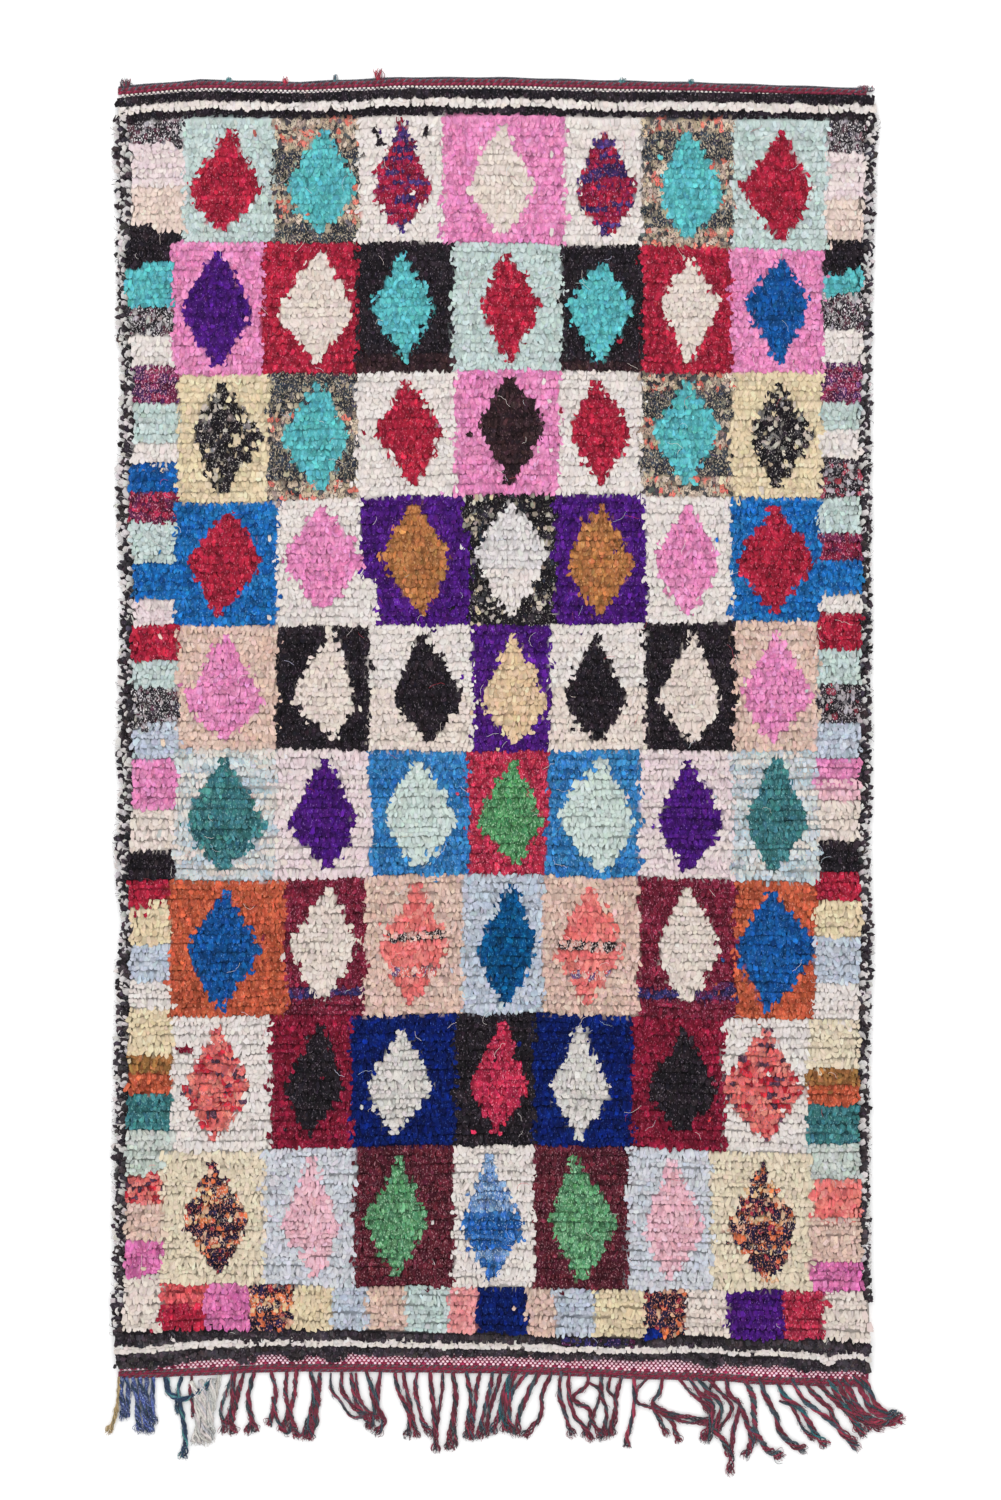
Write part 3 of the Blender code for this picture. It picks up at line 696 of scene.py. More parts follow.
def tuft_faces(count):
    """The faces of this many tufts: the sides ring by ring, a closed root and a pointed tip."""
    corners = len(SECTION)
    rings = len(DROOPING) - 1
    last = (rings - 1) * corners
    tips = [(last + k, last + (k + 1) % corners, rings * corners) for k in range(corners)]
    tips.append(tuple(reversed(range(corners))))
    return repeated([ring_quads(rings, corners), tips], count, TUFT_POINTS)


def tufts(luck, roots, heading, length, height, width, thickness, colours):
    """Flat rag ends that rise from their roots and droop over. heading is the way each one
    lies, in radians from straight down the rug."""
    count = len(roots)
    ahead = np.stack([np.sin(heading), -np.cos(heading), 0 * heading], 1)
    aside = np.stack([np.cos(heading), np.sin(heading), 0 * heading], 1)
    bend = TUFT_BEND * luck.standard_normal(count)
    roll = TUFT_ROLL * luck.standard_normal(count)
    centres = []
    for ring in DROOPING:
        run = ring.reach * length
        rise = ring.rise * height * varied(luck, RING_RISE_SPREAD, count)
        centres.append(
            roots + ahead * run[:, None] + aside * (bend * run * ring.reach)[:, None]
            + UP * rise[:, None]
        )
    points = np.zeros((count, TUFT_POINTS, 3))
    for number, ring in enumerate(DROOPING[:-1]):
        before = centres[max(number - 1, 0)]
        way = unit(centres[number + 1] - before)
        face_up = unit(np.cross(way, -aside))
        level = aside * np.cos(roll)[:, None] + face_up * np.sin(roll)[:, None]
        normal = unit(np.cross(level, way))
        half = ring.width * width / 2 * varied(luck, RING_WIDTH_SPREAD, count)
        thick = ring.thickness * thickness / 2
        for corner, (side, lift) in enumerate(SECTION):
            points[:, number * len(SECTION) + corner] = (
                centres[number] + level * (side * half)[:, None]
                + normal * (lift * thick)[:, None]
            )
    points[:, -1] = centres[-1]
    return Batch(points.reshape(-1, 3), tuft_faces(count), *spread(colours, TUFT_POINTS))


def tubes(paths, radius, sides, colours):
    """A closed tube along each path. paths is shapes by points by xyz; radius is shapes by
    points, or one number."""
    count, length = paths.shape[:2]
    radius = np.broadcast_to(radius, (count, length))[..., None]
    way = unit(np.gradient(paths, axis=1))
    aside = unit(np.cross(way, UP))
    normal = np.cross(aside, way)
    angles = np.arange(sides) * 2 * math.pi / sides
    rings = [
        paths + radius * (aside * math.cos(angle) + normal * math.sin(angle)) for angle in angles
    ]
    points = np.stack(rings, 2)
    quads = [(a, d, c, b) for a, b, c, d in ring_quads(length, sides)]
    last = (length - 1) * sides
    caps = [tuple(range(sides)), tuple(reversed(range(last, last + sides)))]
    faces = repeated([quads, caps], count, length * sides)
    return Batch(points.reshape(-1, 3), faces, *spread(colours, length * sides))


def twisted(path, plies, off_centre, radius, turn, start, sides, colours):
    """The tubes of a rope: plies that wind round the path, one turn every so many metres."""
    way = unit(np.gradient(path, axis=0))
    aside = unit(np.cross(way, UP))
    normal = np.cross(aside, way)
    steps = np.linalg.norm(np.diff(path, axis=0), axis=1)
    run = np.concatenate([[0], np.cumsum(steps)])
    wound = []
    for ply in range(plies):
        angle = (start + run / turn + ply / plies) * 2 * math.pi
        wound.append(
            path + off_centre * (
                aside * np.cos(angle)[:, None] + normal * np.sin(angle)[:, None]
            )
        )
    return tubes(np.array(wound), radius, sides, colours)


# Materials

# A yarn's finish and painted shade: how rough it is and how much sheen it has, the waves of its
# fibre grain in a metre and their depth, and the shares of its colour that show below the low
# height and above the high one. The share below is painted shade: the yarn is darkened towards
# its low places, where the rug's own parts shade it.
Finish = collections.namedtuple("Finish", "roughness sheen grain depth low high deep lightness")
FINISHES_AND_SHADES = {
    "rag": Finish(0.95, 0.04, 460, 0.8 * MM, 11.4 * MM, 13.4 * MM, 0.36, 0.68),
    "band_rag": Finish(0.95, 0.04, 460, 0.8 * MM, 6 * MM, 10 * MM, 0.4, 0.68),
    "selvedge_yarn": Finish(0.92, 0.06, 500, 0.8 * MM, 1 * MM, 8 * MM, 0.45, 0.66),
    "cord_yarn": Finish(0.85, 0.15, 900, 0.5 * MM, 0, 4 * MM, 0.62, 0.86),
    "weave": Finish(0.9, 0.1, 700, 0.5 * MM, 0, 3.5 * MM, 0.6, 0.95),
}
YARN_SPECULAR = 0.12
SHEEN_ROUGHNESS = 0.6
FIBRE_SLANT = 0.3
FIBRE_STRETCH = 0.5
MARL_PULL = 0.42  # how far a full marl lifts the grain towards showing as threads
THREAD_EDGE = (0.66, 0.72)  # the grain's level where the second colour begins and is full
MOTTLE_EDGE = (0.3, 0.7)
MOTTLE = 0.36  # how far a dark yarn's brightness is mottled
MOTTLE_LIMIT = 1.05  # mottling fades as a yarn's paleness nears this
MOTTLE_SIZE = 4  # the mottle's waves are this many times longer than the grain's
COARSE_SIZE = 2.3
BUMP_STRENGTH = 0.6


def yarn_material(name):
    """Rag or yarn coloured by its points, with fine threads of its second colour, and darkened
    towards its low places with painted shade.
    """
    finish_and_shade = FINISHES_AND_SHADES[name]
    material = bpy.data.materials.new(name)
    material.use_nodes = True
    tree = material.node_tree
    shader = tree.nodes["Principled BSDF"]
    shader.inputs["Roughness"].default_value = finish_and_shade.roughness
    shader.inputs["Metallic"].default_value = 0
    shader.inputs["Specular IOR Level"].default_value = YARN_SPECULAR
    shader.inputs["Sheen Weight"].default_value = finish_and_shade.sheen
    shader.inputs["Sheen Roughness"].default_value = SHEEN_ROUGHNESS
    place = tree.nodes.new("ShaderNodeTexCoord").outputs["Object"]
    along_rag = tree.nodes.new("ShaderNodeMapping")
    along_rag.inputs["Rotation"].default_value[2] = FIBRE_SLANT
    along_rag.inputs["Scale"].default_value[1] = FIBRE_STRETCH
    tree.links.new(place, along_rag.inputs["Vector"])

    def attribute(title, output):
        node = tree.nodes.new("ShaderNodeAttribute")
        node.attribute_name = title
        return node.outputs[output]

    def noise(scale, detail):
        node = tree.nodes.new("ShaderNodeTexNoise")
        node.inputs["Scale"].default_value = scale
        node.inputs["Detail"].default_value = detail
        tree.links.new(along_rag.outputs["Vector"], node.inputs["Vector"])
        return node.outputs["Fac"]

    def maths(operation, first, second):
        node = tree.nodes.new("ShaderNodeMath")
        node.operation = operation
        for entry, value in zip(node.inputs, (first, second)):
            if isinstance(value, (int, float)):
                entry.default_value = value
            else:
                tree.links.new(value, entry)
        return node.outputs[0]

    def ramp(value, from_low, from_high, to_low, to_high):
        node = tree.nodes.new("ShaderNodeMapRange")
        node.interpolation_type = "SMOOTHSTEP"
        tree.links.new(value, node.inputs["Value"])
        for title, number in (
            ("From Min", from_low), ("From Max", from_high), ("To Min", to_low), ("To Max", to_high)
        ):
            node.inputs[title].default_value = number
        return node.outputs["Result"]

    def mixed(kind, amount, first, second):
        node = tree.nodes.new("ShaderNodeMix")
        node.data_type = "RGBA"
        node.blend_type = kind
        for entry, value in ((0, amount), (6, first), (7, second)):
            if isinstance(value, (int, float)):
                node.inputs[entry].default_value = value
            else:
                tree.links.new(value, node.inputs[entry])
        return node.outputs[2]

    fine = noise(finish_and_shade.grain, 2)
    threads = maths("ADD", fine, maths("MULTIPLY", attribute("marl", "Fac"), MARL_PULL))
    colour = mixed(
        "MIX", ramp(threads, *THREAD_EDGE, 0, 1), attribute("shade", "Color"),
        attribute("thread", "Color"),
    )
    paleness = tree.nodes.new("ShaderNodeRGBToBW")
    tree.links.new(attribute("shade", "Color"), paleness.inputs[0])
    strength = maths("SUBTRACT", MOTTLE_LIMIT, paleness.outputs[0])
    patches = ramp(noise(finish_and_shade.grain / MOTTLE_SIZE, 3), *MOTTLE_EDGE, -MOTTLE, MOTTLE)
    mottle = maths("ADD", maths("MULTIPLY", patches, strength), 1.0)
    height = tree.nodes.new("ShaderNodeSeparateXYZ")
    tree.links.new(place, height.inputs[0])
    # Painted shade: the colour darkens from the high height down to the low one, as the rug's own
    # parts shade its low places.
    shadow = ramp(height.outputs["Z"], finish_and_shade.low, finish_and_shade.high, finish_and_shade.deep, finish_and_shade.lightness)
    level = maths("MULTIPLY", mottle, shadow)
    grey = tree.nodes.new("ShaderNodeCombineColor")
    for entry in grey.inputs:
        tree.links.new(level, entry)
    colour = mixed("MULTIPLY", 1.0, colour, grey.outputs[0])
    tree.links.new(colour, shader.inputs["Base Color"])
    bump = tree.nodes.new("ShaderNodeBump")
    bump.inputs["Strength"].default_value = BUMP_STRENGTH
    bump.inputs["Distance"].default_value = finish_and_shade.depth
    coarse = noise(finish_and_shade.grain / COARSE_SIZE, 2)
    tree.links.new(maths("ADD", fine, coarse), bump.inputs["Height"])
    tree.links.new(bump.outputs["Normal"], shader.inputs["Normal"])
    return material


# The pile

# Each row of knots has its rag ends in two layers. A layer's roots lie this far back from the
# row's line and this far below the top of the bed of pile, and its tufts are so long
# and rise so high, in millimetres.
Layer = collections.namedtuple("Layer", "back sunk length height")
LAYERS = [Layer(0.0, 1.5, 12.5, 2.9), Layer(7.4, 0.8, 11.2, 2.6)]
BAND_LAYERS = [Layer(0.0, 1.2, 11.5, 2.8), Layer(6.2, 0.6, 10.5, 2.6)]
TUFT_WIDTH = 6.8 * MM
TUFT_THICKNESS = 1.5 * MM
TUFT_PITCH = 6.2 * MM
BED_TOP = 13.6 * MM
BAND_BED_TOP = 10 * MM
CREASE_DEPTH = 1.9 * MM  # how far the bed dips between two rows of knots
CREASE_OPENNESS = 0.25  # how much the tufts' lengths wander along a row
CREASE_EASE = 0.5  # creases are shallower by this share for each metre up the rug
CREASE_LIMIT = 1.2  # how far that wandering may go, in its own spread
HEAD_FULLNESS = 0.09  # tufts are longer by this share for each metre up the rug
BAND_OPENNESS = 0.18
BAND_TUFT_WIDTH = 8.8 * MM
KNOT_SPAN = (0.1, 0.9)  # the part of its own stretch of the row that a knot may stand in
ROOT_JITTER = 0.7 * MM
ROOT_LEVEL_JITTER = 0.4 * MM
HEADING_SPREAD = 0.34  # radians
WIDTH_SPREAD = 0.24
LENGTH_SPREAD = 0.08
HEIGHT_SPREAD = 0.16
THICKNESS_SPREAD = 0.15
ROW_PITCH = 16.1 * MM
BAND_PITCH = 14.7 * MM
HEAD_BAND_START = 7 * MM  # from the head cord to the first band's roots
HEAD_PILE_START = 57.5 * MM
HEAD_RISES = [EdgePoint(200, 0), EdgePoint(500, 5), EdgePoint(650, 8)]
# How far the roots of the three foot bands lie from the foot cord, in millimetres.
FootBands = collections.namedtuple("FootBands", "x low middle high")
FOOT_BAND_STARTS = [
    FootBands(-658, 19, 45, 66), FootBands(-627, 17, 45, 62), FootBands(-577, 17, 45, 62),
    FootBands(-541, 22, 48, 65), FootBands(-516, 29, 49, 65), FootBands(-490, 31, 49, 66),
    FootBands(-448, 28, 49, 66), FootBands(-436, 15, 49, 64), FootBands(-418, 15, 49, 63),
    FootBands(-408, 31, 48, 61), FootBands(-362, 30, 48, 62), FootBands(-350, 20, 48, 62),
    FootBands(-334, 20, 48, 62), FootBands(-324, 32, 47, 60), FootBands(-298, 30, 47, 58),
    FootBands(-288, 19, 46, 57), FootBands(-262, 19, 46, 57), FootBands(-250, 33, 46, 57),
    FootBands(-150, 30, 44, 54), FootBands(150, 30, 44, 54), FootBands(253, 34, 47, 55),
    FootBands(323, 37, 50, 63), FootBands(352, 31, 50, 61), FootBands(376, 21, 51, 61),
    FootBands(402, 34, 49, 60), FootBands(426, 29, 47, 59), FootBands(451, 31, 51, 62),
    FootBands(501, 36, 52, 65), FootBands(537, 26, 49, 64), FootBands(561, 29, 47, 66),
    FootBands(580, 23, 36, 66), FootBands(599, 28, 51, 64), FootBands(627, 31, 53, 63),
    FootBands(655, 25, 46, 60),
]
MIDDLE_PLACES = (-0.3, 0.3)  # a row's place up the rug is read here
ROW_WAVER = 1.3 * MM
# The waves of a row's line: their height as a share of the waver, and how fast they run across
# the rug and from row to row.
Wave = collections.namedtuple("Wave", "height across down")
ROW_WAVES = [Wave(1.0, 13, 10), Wave(0.6, 31, -19)]
ROW_OVERLAP = 2.5 * MM  # how far the tips of one row reach over the roots of the next
BAND_INSET = 6 * MM  # from the rim to the outermost tuft of a band
CREASE_SPACING = 27 * MM  # how fast the gap between two rows opens and closes
EDGE_RAGGEDNESS = 1.5  # how far a colour's edge wanders from row to row, in chart steps
EDGE_JITTER = 0.8  # how far it wanders from tuft to tuft
STRAYS = 0.004  # share of tufts that belong to another patch
STRAY_OFFSET = (22, -9)  # where that patch is, in chart steps

# The rows of knots of the bands, numbered from the head cord inwards and from the foot cord
# inwards, and how far each one runs, in millimetres.
BandRow = collections.namedtuple("BandRow", "number yarn left right", defaults=(-700, 700))
HEAD_BANDS = [BandRow(0, "black"), BandRow(1, "white"), BandRow(2, "black")]
FOOT_BANDS = [BandRow(0, "charcoal"), BandRow(1, "white"), BandRow(2, "charcoal")]
FOOT_BAND_EXTRAS = [
    BandRow(1.75, "charcoal", -700, -280), BandRow(1.75, "charcoal", 300, 700),
    BandRow(2.0, "navy marl", 120, 245),
    BandRow(0.5, "charcoal", -700, -530), BandRow(0.5, "charcoal", -445, -412),
    BandRow(0.5, "charcoal", -360, -326), BandRow(0.5, "charcoal", -297, -255),
    BandRow(0.5, "charcoal", 362, 392), BandRow(0.5, "charcoal", 525, 548),
    BandRow(0.5, "charcoal", 592, 700), BandRow(1.6, "charcoal", 545, 612),
    BandRow(1.6, "charcoal", 640, 700), BandRow(1.15, "charcoal", -428, -410),
    BandRow(1.15, "charcoal", -345, -318),
]


def cloth_top(x):
    return head_edge(x) - HEAD_CORD_WIDTH


def cloth_foot(x):
    return foot_edge(x) + FOOT_CORD_WIDTH


def head_rise(x):
    """How far the bands and the pile climb over the cord towards the right end."""
    return along(HEAD_RISES, "y", x, "x")


def head_band_line(x, number):
    return cloth_top(x) + head_rise(x) - HEAD_BAND_START - number * BAND_PITCH


def foot_band_line(x, number):
    starts = [along(FOOT_BAND_STARTS, column, x, "x") for column in ("low", "middle", "high")]
    whole = min(max(int(number), 0), 1)
    share = number - whole
    return cloth_foot(x) + starts[whole] * (1 - share) + starts[whole + 1] * share


def wander(luck, x, spacing):
    """A smooth random value along a row, that changes over this spacing."""
    marks = np.arange(x.min() - spacing, x.max() + 2 * spacing, spacing)
    return np.interp(x, marks, luck.standard_normal(len(marks)))


def tuft_row(luck, line_of, at, band, bed):
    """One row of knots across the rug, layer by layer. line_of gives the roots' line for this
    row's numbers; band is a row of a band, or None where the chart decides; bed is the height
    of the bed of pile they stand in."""
    middle_y = float(np.mean(line_of(np.array(MIDDLE_PLACES), *at)))
    left = float(side_line("left_pile", middle_y))
    right = float(side_line("right_pile", middle_y))
    layers = LAYERS
    tuft_width = TUFT_WIDTH
    openness = CREASE_OPENNESS * (1 - CREASE_EASE * middle_y)
    if band is not None:
        tuft_width = BAND_TUFT_WIDTH
        openness = BAND_OPENNESS
        left = max(float(side_line("left_rim", middle_y)) + BAND_INSET, band.left * MM)
        right = min(float(side_line("right_rim", middle_y)) - BAND_INSET, band.right * MM)
        layers = BAND_LAYERS
    count = round((right - left) / TUFT_PITCH)
    pitch = (right - left) / count
    everywhere = np.linspace(left, right, count)
    edge_drift = EDGE_RAGGEDNESS * wander(luck, everywhere, CREASE_SPACING)
    crease = np.clip(wander(luck, everywhere, CREASE_SPACING), -CREASE_LIMIT, CREASE_LIMIT)
    batches = []
    for layer in layers:
        x = left + (np.arange(count) + luck.uniform(*KNOT_SPAN, count)) * pitch
        line = line_of(x, *at)
        y = line - layer.back * MM + ROOT_JITTER * luck.standard_normal(count)
        if band is None:
            chart_x, chart_y = to_chart(x, line - ROW_OVERLAP - ROW_PITCH / 2)
            chart_x = chart_x + edge_drift + luck.uniform(-EDGE_JITTER, EDGE_JITTER, count)
            yarns = charted_yarns(chart_x, chart_y)
            astray = luck.random(count) < STRAYS
            other = charted_yarns(chart_x + STRAY_OFFSET[0], chart_y + STRAY_OFFSET[1])
            yarns = np.where(astray, other, yarns)
        else:
            yarns = np.full(count, yarn_number(band.yarn))
            other = "black" if band.yarn == "white" else "white"
            astray = luck.random(count) < STRAYS
            yarns[astray] = yarn_number(other)
        level = bed - layer.sunk * MM + ROOT_LEVEL_JITTER * luck.standard_normal(count)
        roots = np.stack([x, y, level], 1)
        heading = HEADING_SPREAD * luck.standard_normal(count)
        wide = tuft_width * varied(luck, WIDTH_SPREAD, count)
        longer = LENGTH_SPREAD * luck.standard_normal(count) - openness * crease
        long = layer.length * MM * np.exp(longer)
        long *= 1 + HEAD_FULLNESS * middle_y
        tall = layer.height * MM * varied(luck, HEIGHT_SPREAD, count)
        thick = TUFT_THICKNESS * varied(luck, THICKNESS_SPREAD, count)
        colours = yarn_colours(luck, yarns, vary=0.07, along_row=x)
        batches.append(tufts(luck, roots, heading, long, tall, wide, thick, colours))
    return batches


def knot_rows():
    """Every row of knots from the head down, as the row of tiles it belongs to and its share
    of the way down that row."""
    rows = []
    for number in range(len(TILE_ROWS) + 1):
        middle = CHART_MIDDLE[0]
        depth = float(row_line(number + 1, middle) - row_line(number, middle)) * CHART_STEP
        count = round(depth / ROW_PITCH)
        rows.extend((number, step / count) for step in range(count))
    return rows


def knot_line(x, number, share):
    """The wavering line that one row of knots has its roots on."""
    chart_x = x / CHART_STEP + CHART_MIDDLE[0]
    upper = row_line(number, chart_x)
    lower = row_line(number + 1, chart_x)
    y = (CHART_MIDDLE[1] - upper * (1 - share) - lower * share) * CHART_STEP
    place = number + share
    waver = sum(w.height * np.sin(x * w.across + w.down * place) for w in ROW_WAVES)
    return y + ROW_OVERLAP + ROW_WAVER * waver


def pile(material, band_material):
    """All the rows of knots, in one piece for each row of tiles and one for each end."""
    luck = dice("pile")
    head = []
    for band in HEAD_BANDS:
        head.extend(tuft_row(luck, head_band_line, [band.number], band, BAND_BED_TOP))
    made = [piece("head_bands", head, band_material, crisp=True)]
    groups = [[] for _ in TILE_ROWS]
    for number, share in knot_rows():
        group = groups[min(number, len(groups) - 1)]
        group.extend(tuft_row(luck, knot_line, [number, share], None, BED_TOP))
    for number, group in enumerate(groups, 1):
        made.append(piece(f"pile_{number}", group, material, crisp=True))
    foot = []
    for band in FOOT_BANDS + FOOT_BAND_EXTRAS:
        foot.extend(tuft_row(luck, foot_band_line, [band.number], band, BAND_BED_TOP))
    made.append(piece("foot_bands", foot, band_material, crisp=True))
    return made


# The bed of pile that the tufts stand out of

BED_COLUMNS = 104
BED_BOTTOM = 4.5 * MM
BED_LUMP = 0.5 * MM
BED_EDGE = 7 * MM  # the bed's height along the sides
CHART_SPAN = (120, 1330)  # the tiles and patches lie between these heights of the chart


def bed_lines(x):
    """The bed's lines across the rug from foot to head. Each has its place, its height, and
    the yarn of the band that it belongs to, or None."""
    lines = []
    for number in range(2 * len(FOOT_BANDS) + 1):
        y = foot_band_line(x, number / 2) - BAND_PITCH / 2
        dip = CREASE_DEPTH if number % 2 == 1 else 0
        band = FOOT_BANDS[min(number // 2, len(FOOT_BANDS) - 1)]
        lines.append((y, BAND_BED_TOP - dip, band.yarn))
    pile_lines = [knot_line(x, number, share) for number, share in knot_rows()]
    following = foot_band_line(x, 2) + ROW_OVERLAP
    for line in reversed(pile_lines):
        lines.append(((line + following) / 2, BED_TOP, None))
        lines.append((line, BED_TOP - CREASE_DEPTH * (1 - CREASE_EASE * line), None))
        following = line
    for number in range(2 * len(HEAD_BANDS) - 1, -1, -1):
        dip = CREASE_DEPTH if number % 2 == 0 else 0
        yarn = HEAD_BANDS[number // 2].yarn
        lines.append((head_band_line(x, number / 2), BAND_BED_TOP - dip, yarn))
    return lines


def pile_bed(material):
    """The rags packed between the tufts: a low slab that dips between the rows of knots, in
    the colours of the chart."""
    luck = dice("pile_bed")
    across = np.linspace(0, 1, BED_COLUMNS + 1)
    rough_x = across_pile(across, 0)
    points = []
    yarns = []
    for y, level, band in bed_lines(rough_x):
        x = across_pile(across, y)
        height = level + BED_LUMP * luck.standard_normal(len(x))
        height[[0, -1]] = np.minimum(height[[0, -1]], BED_EDGE)
        points.append(np.stack([x, y, height], 1))
        chart_x, chart_y = to_chart(x, y)
        if band is None:
            yarns.append(charted_yarns(chart_x, np.clip(chart_y, *CHART_SPAN)))
        else:
            yarns.append(np.full(len(x), yarn_number(band)))
    top = np.concatenate(points)
    shade, thread, marl = yarn_colours(luck, np.concatenate(yarns), vary=0.05)
    upper, edge = grid_faces(len(points), BED_COLUMNS + 1)
    below = len(top) + np.arange(len(edge))
    bottom = top[edge]
    bottom[:, 2] = BED_BOTTOM
    batch = Batch(
        np.concatenate([top, bottom]), [upper, walls(edge, below), below[None, ::-1]],
        np.concatenate([shade, shade[edge]]), np.concatenate([thread, thread[edge]]),
        np.concatenate([marl, marl[edge]]),
    )
    return piece("pile_bed", [batch], material)


# The ground cloth

CLOTH_TOP = 4.2 * MM
CLOTH_BOTTOM = 0.4 * MM
CLOTH_COLUMNS = 50
CLOTH_ROWS = 90
KNOT_BACKS = 0.3 * MM  # how far the knot backs stand out of its underside
HEAD_KILIM_WIDTH = 8 * MM
FOOT_KILIM_WIDTH = 22 * MM
KILIM_LEVEL = 3 * MM
KILIM_MARGIN = 2 * MM  # how far the slate ground of the head's flat weave shows past it


def ground_cloth(material):
    """The woven cloth that the knots are tied on, with the rows of knot backs beneath."""
    luck = dice("ground_cloth")
    across = np.linspace(0, 1, CLOTH_COLUMNS + 1)
    up = np.linspace(0, 1, CLOTH_ROWS + 1)
    across, up = np.meshgrid(across, up)
    rough_x = across_pile(across, 0)
    y = cloth_foot(rough_x) * (1 - up) + cloth_top(rough_x) * up
    x = across_pile(across, y)
    chart_x, chart_y = to_chart(x, y)
    yarns = charted_yarns(chart_x, np.clip(chart_y, *CHART_SPAN)).ravel()
    from_head = (cloth_top(x) - y).ravel()
    from_foot = (y - cloth_foot(x)).ravel()
    yarns[from_head < HEAD_PILE_START] = yarn_number("black")
    yarns[(y - foot_band_line(x, 2)).ravel() < 0] = yarn_number("black")
    yarns[from_head < HEAD_KILIM_WIDTH + KILIM_MARGIN] = yarn_number("slate")
    yarns[from_foot < FOOT_KILIM_WIDTH] = yarn_number("rose")
    shade, thread, marl = yarn_colours(luck, yarns, vary=0.06)
    count = x.size
    top = np.stack([x.ravel(), y.ravel(), np.full(count, CLOTH_TOP)], 1)
    bottom = np.stack([x.ravel(), y.ravel(), np.full(count, CLOTH_BOTTOM)], 1)
    low_end = (from_head < HEAD_KILIM_WIDTH) | (from_foot < FOOT_KILIM_WIDTH)
    top[low_end, 2] = KILIM_LEVEL
    bottom[:, 2] += KNOT_BACKS * luck.random(count)
    upper, rim = grid_faces(CLOTH_ROWS + 1, CLOTH_COLUMNS + 1)
    batch = Batch(
        np.concatenate([top, bottom]), [upper, upper[:, ::-1] + count, walls(rim, rim + count)],
        np.tile(shade, (2, 1)), np.tile(thread, (2, 1)), np.tile(marl, 2),
    )
    return piece("ground_cloth", [batch], material)


# The flat weave at both ends, stitch by stitch

NUB_LENGTH = 5.8 * MM
NUB_WIDTH = 5.2 * MM
NUB_PITCH = 7.6 * MM
NUB_ROW = 4.6 * MM
NUB_CORNERS = 6
NUB_JITTER = 0.25 * MM
KILIM_REACH = 0.646  # from the middle to the last stitch of a row
EDGING_EVERY = 3  # stitches
# A nub's base and its rounded top, as shares of its breadth at these heights.
NubRing = collections.namedtuple("NubRing", "share height")
NUB_RINGS = [NubRing(1.0, 2.6 * MM), NubRing(0.8, 5.0 * MM)]


def nubs(x, y, colours):
    """A low rounded stitch at each of these places."""
    count = len(x)
    angles = np.arange(NUB_CORNERS) * 2 * math.pi / NUB_CORNERS
    points = np.zeros((count, len(NUB_RINGS), NUB_CORNERS, 3))
    for number, ring in enumerate(NUB_RINGS):
        points[:, number, :, 0] = x[:, None] + ring.share * NUB_LENGTH / 2 * np.cos(angles)
        points[:, number, :, 1] = y[:, None] + ring.share * NUB_WIDTH / 2 * np.sin(angles)
        points[:, number, :, 2] = ring.height
    corners = range(NUB_CORNERS)
    ends = [tuple(reversed(corners)), tuple(NUB_CORNERS + k for k in corners)]
    size = len(NUB_RINGS) * NUB_CORNERS
    faces = repeated([ring_quads(len(NUB_RINGS), NUB_CORNERS), ends], count, size)
    return Batch(points.reshape(-1, 3), faces, *spread(colours, size))


def kilim_strip(name, line, width, main_yarn, edging, material):
    """A flat-woven strip of weft nubs, row by row from this line. Some stitches of
    the row at the line are in the edging yarn."""
    luck = dice(name)
    batches = []
    rows = max(1, round(width / NUB_ROW))
    for row in range(rows):
        x = np.arange(-KILIM_REACH, KILIM_REACH, NUB_PITCH) + (row % 2) * NUB_PITCH / 2
        count = len(x)
        y = line(x) + (row + 0.5) * width / rows + NUB_JITTER * luck.standard_normal(count)
        yarns = np.full(count, yarn_number(main_yarn))
        if row == 0:
            yarns[::EDGING_EVERY] = yarn_number(edging)
        batches.append(nubs(x, y, yarn_colours(luck, yarns, vary=0.1)))
    return piece(name, batches, material)


# The selvedges

SELVEDGE_STEP = 7.0 * MM
SELVEDGE_COLUMNS = 3
SELVEDGE_CORE = 8 * MM
SELVEDGE_INNER = 2 * MM  # how far inside the pile's edge the first column stands
SELVEDGE_OUTER = 7 * MM  # how far inside the rim the last one stands
SELVEDGE_LEVEL = 7 * MM
SELVEDGE_SLOPE = 3 * MM  # how much lower the last column stands
SELVEDGE_HEADING = math.pi / 2 + 0.55
SELVEDGE_HEADING_SPREAD = 0.3
SELVEDGE_LENGTHS = (11, 6)  # the least length, and how much longer some are, in millimetres
SELVEDGE_HEIGHTS = (7.5, 3.5)  # the first column's height, and how much lower the last is
SELVEDGE_HEIGHT_SPREAD = 0.15
SELVEDGE_WIDTH = 8.8 * MM
SELVEDGE_WIDTH_SPREAD = 0.2
SELVEDGE_THICKNESS = 4.0 * MM
STITCH_SLANT = 5.5 * MM  # how far a stitch drops from one column to the next
CORE_INSET = 12 * MM
CORE_RINGS = 160
CORE_SIDES = 8
CORE_LIFT = 1 * MM
CORE_ENDS = 10 * MM  # how far short of the end cords the core stops
SELVEDGE_PLACE = 0.63  # where the end cords are read, in metres from the middle
HEAD_BANDS_DEPTH = 40 * MM  # the bands' tufts cover this much of the selvedge at the head
FOOT_BANDS_DEPTH = {"left": 58 * MM, "right": 135 * MM}
STITCH_PITCH = 15.2 * MM  # from one white overcast stitch to the next
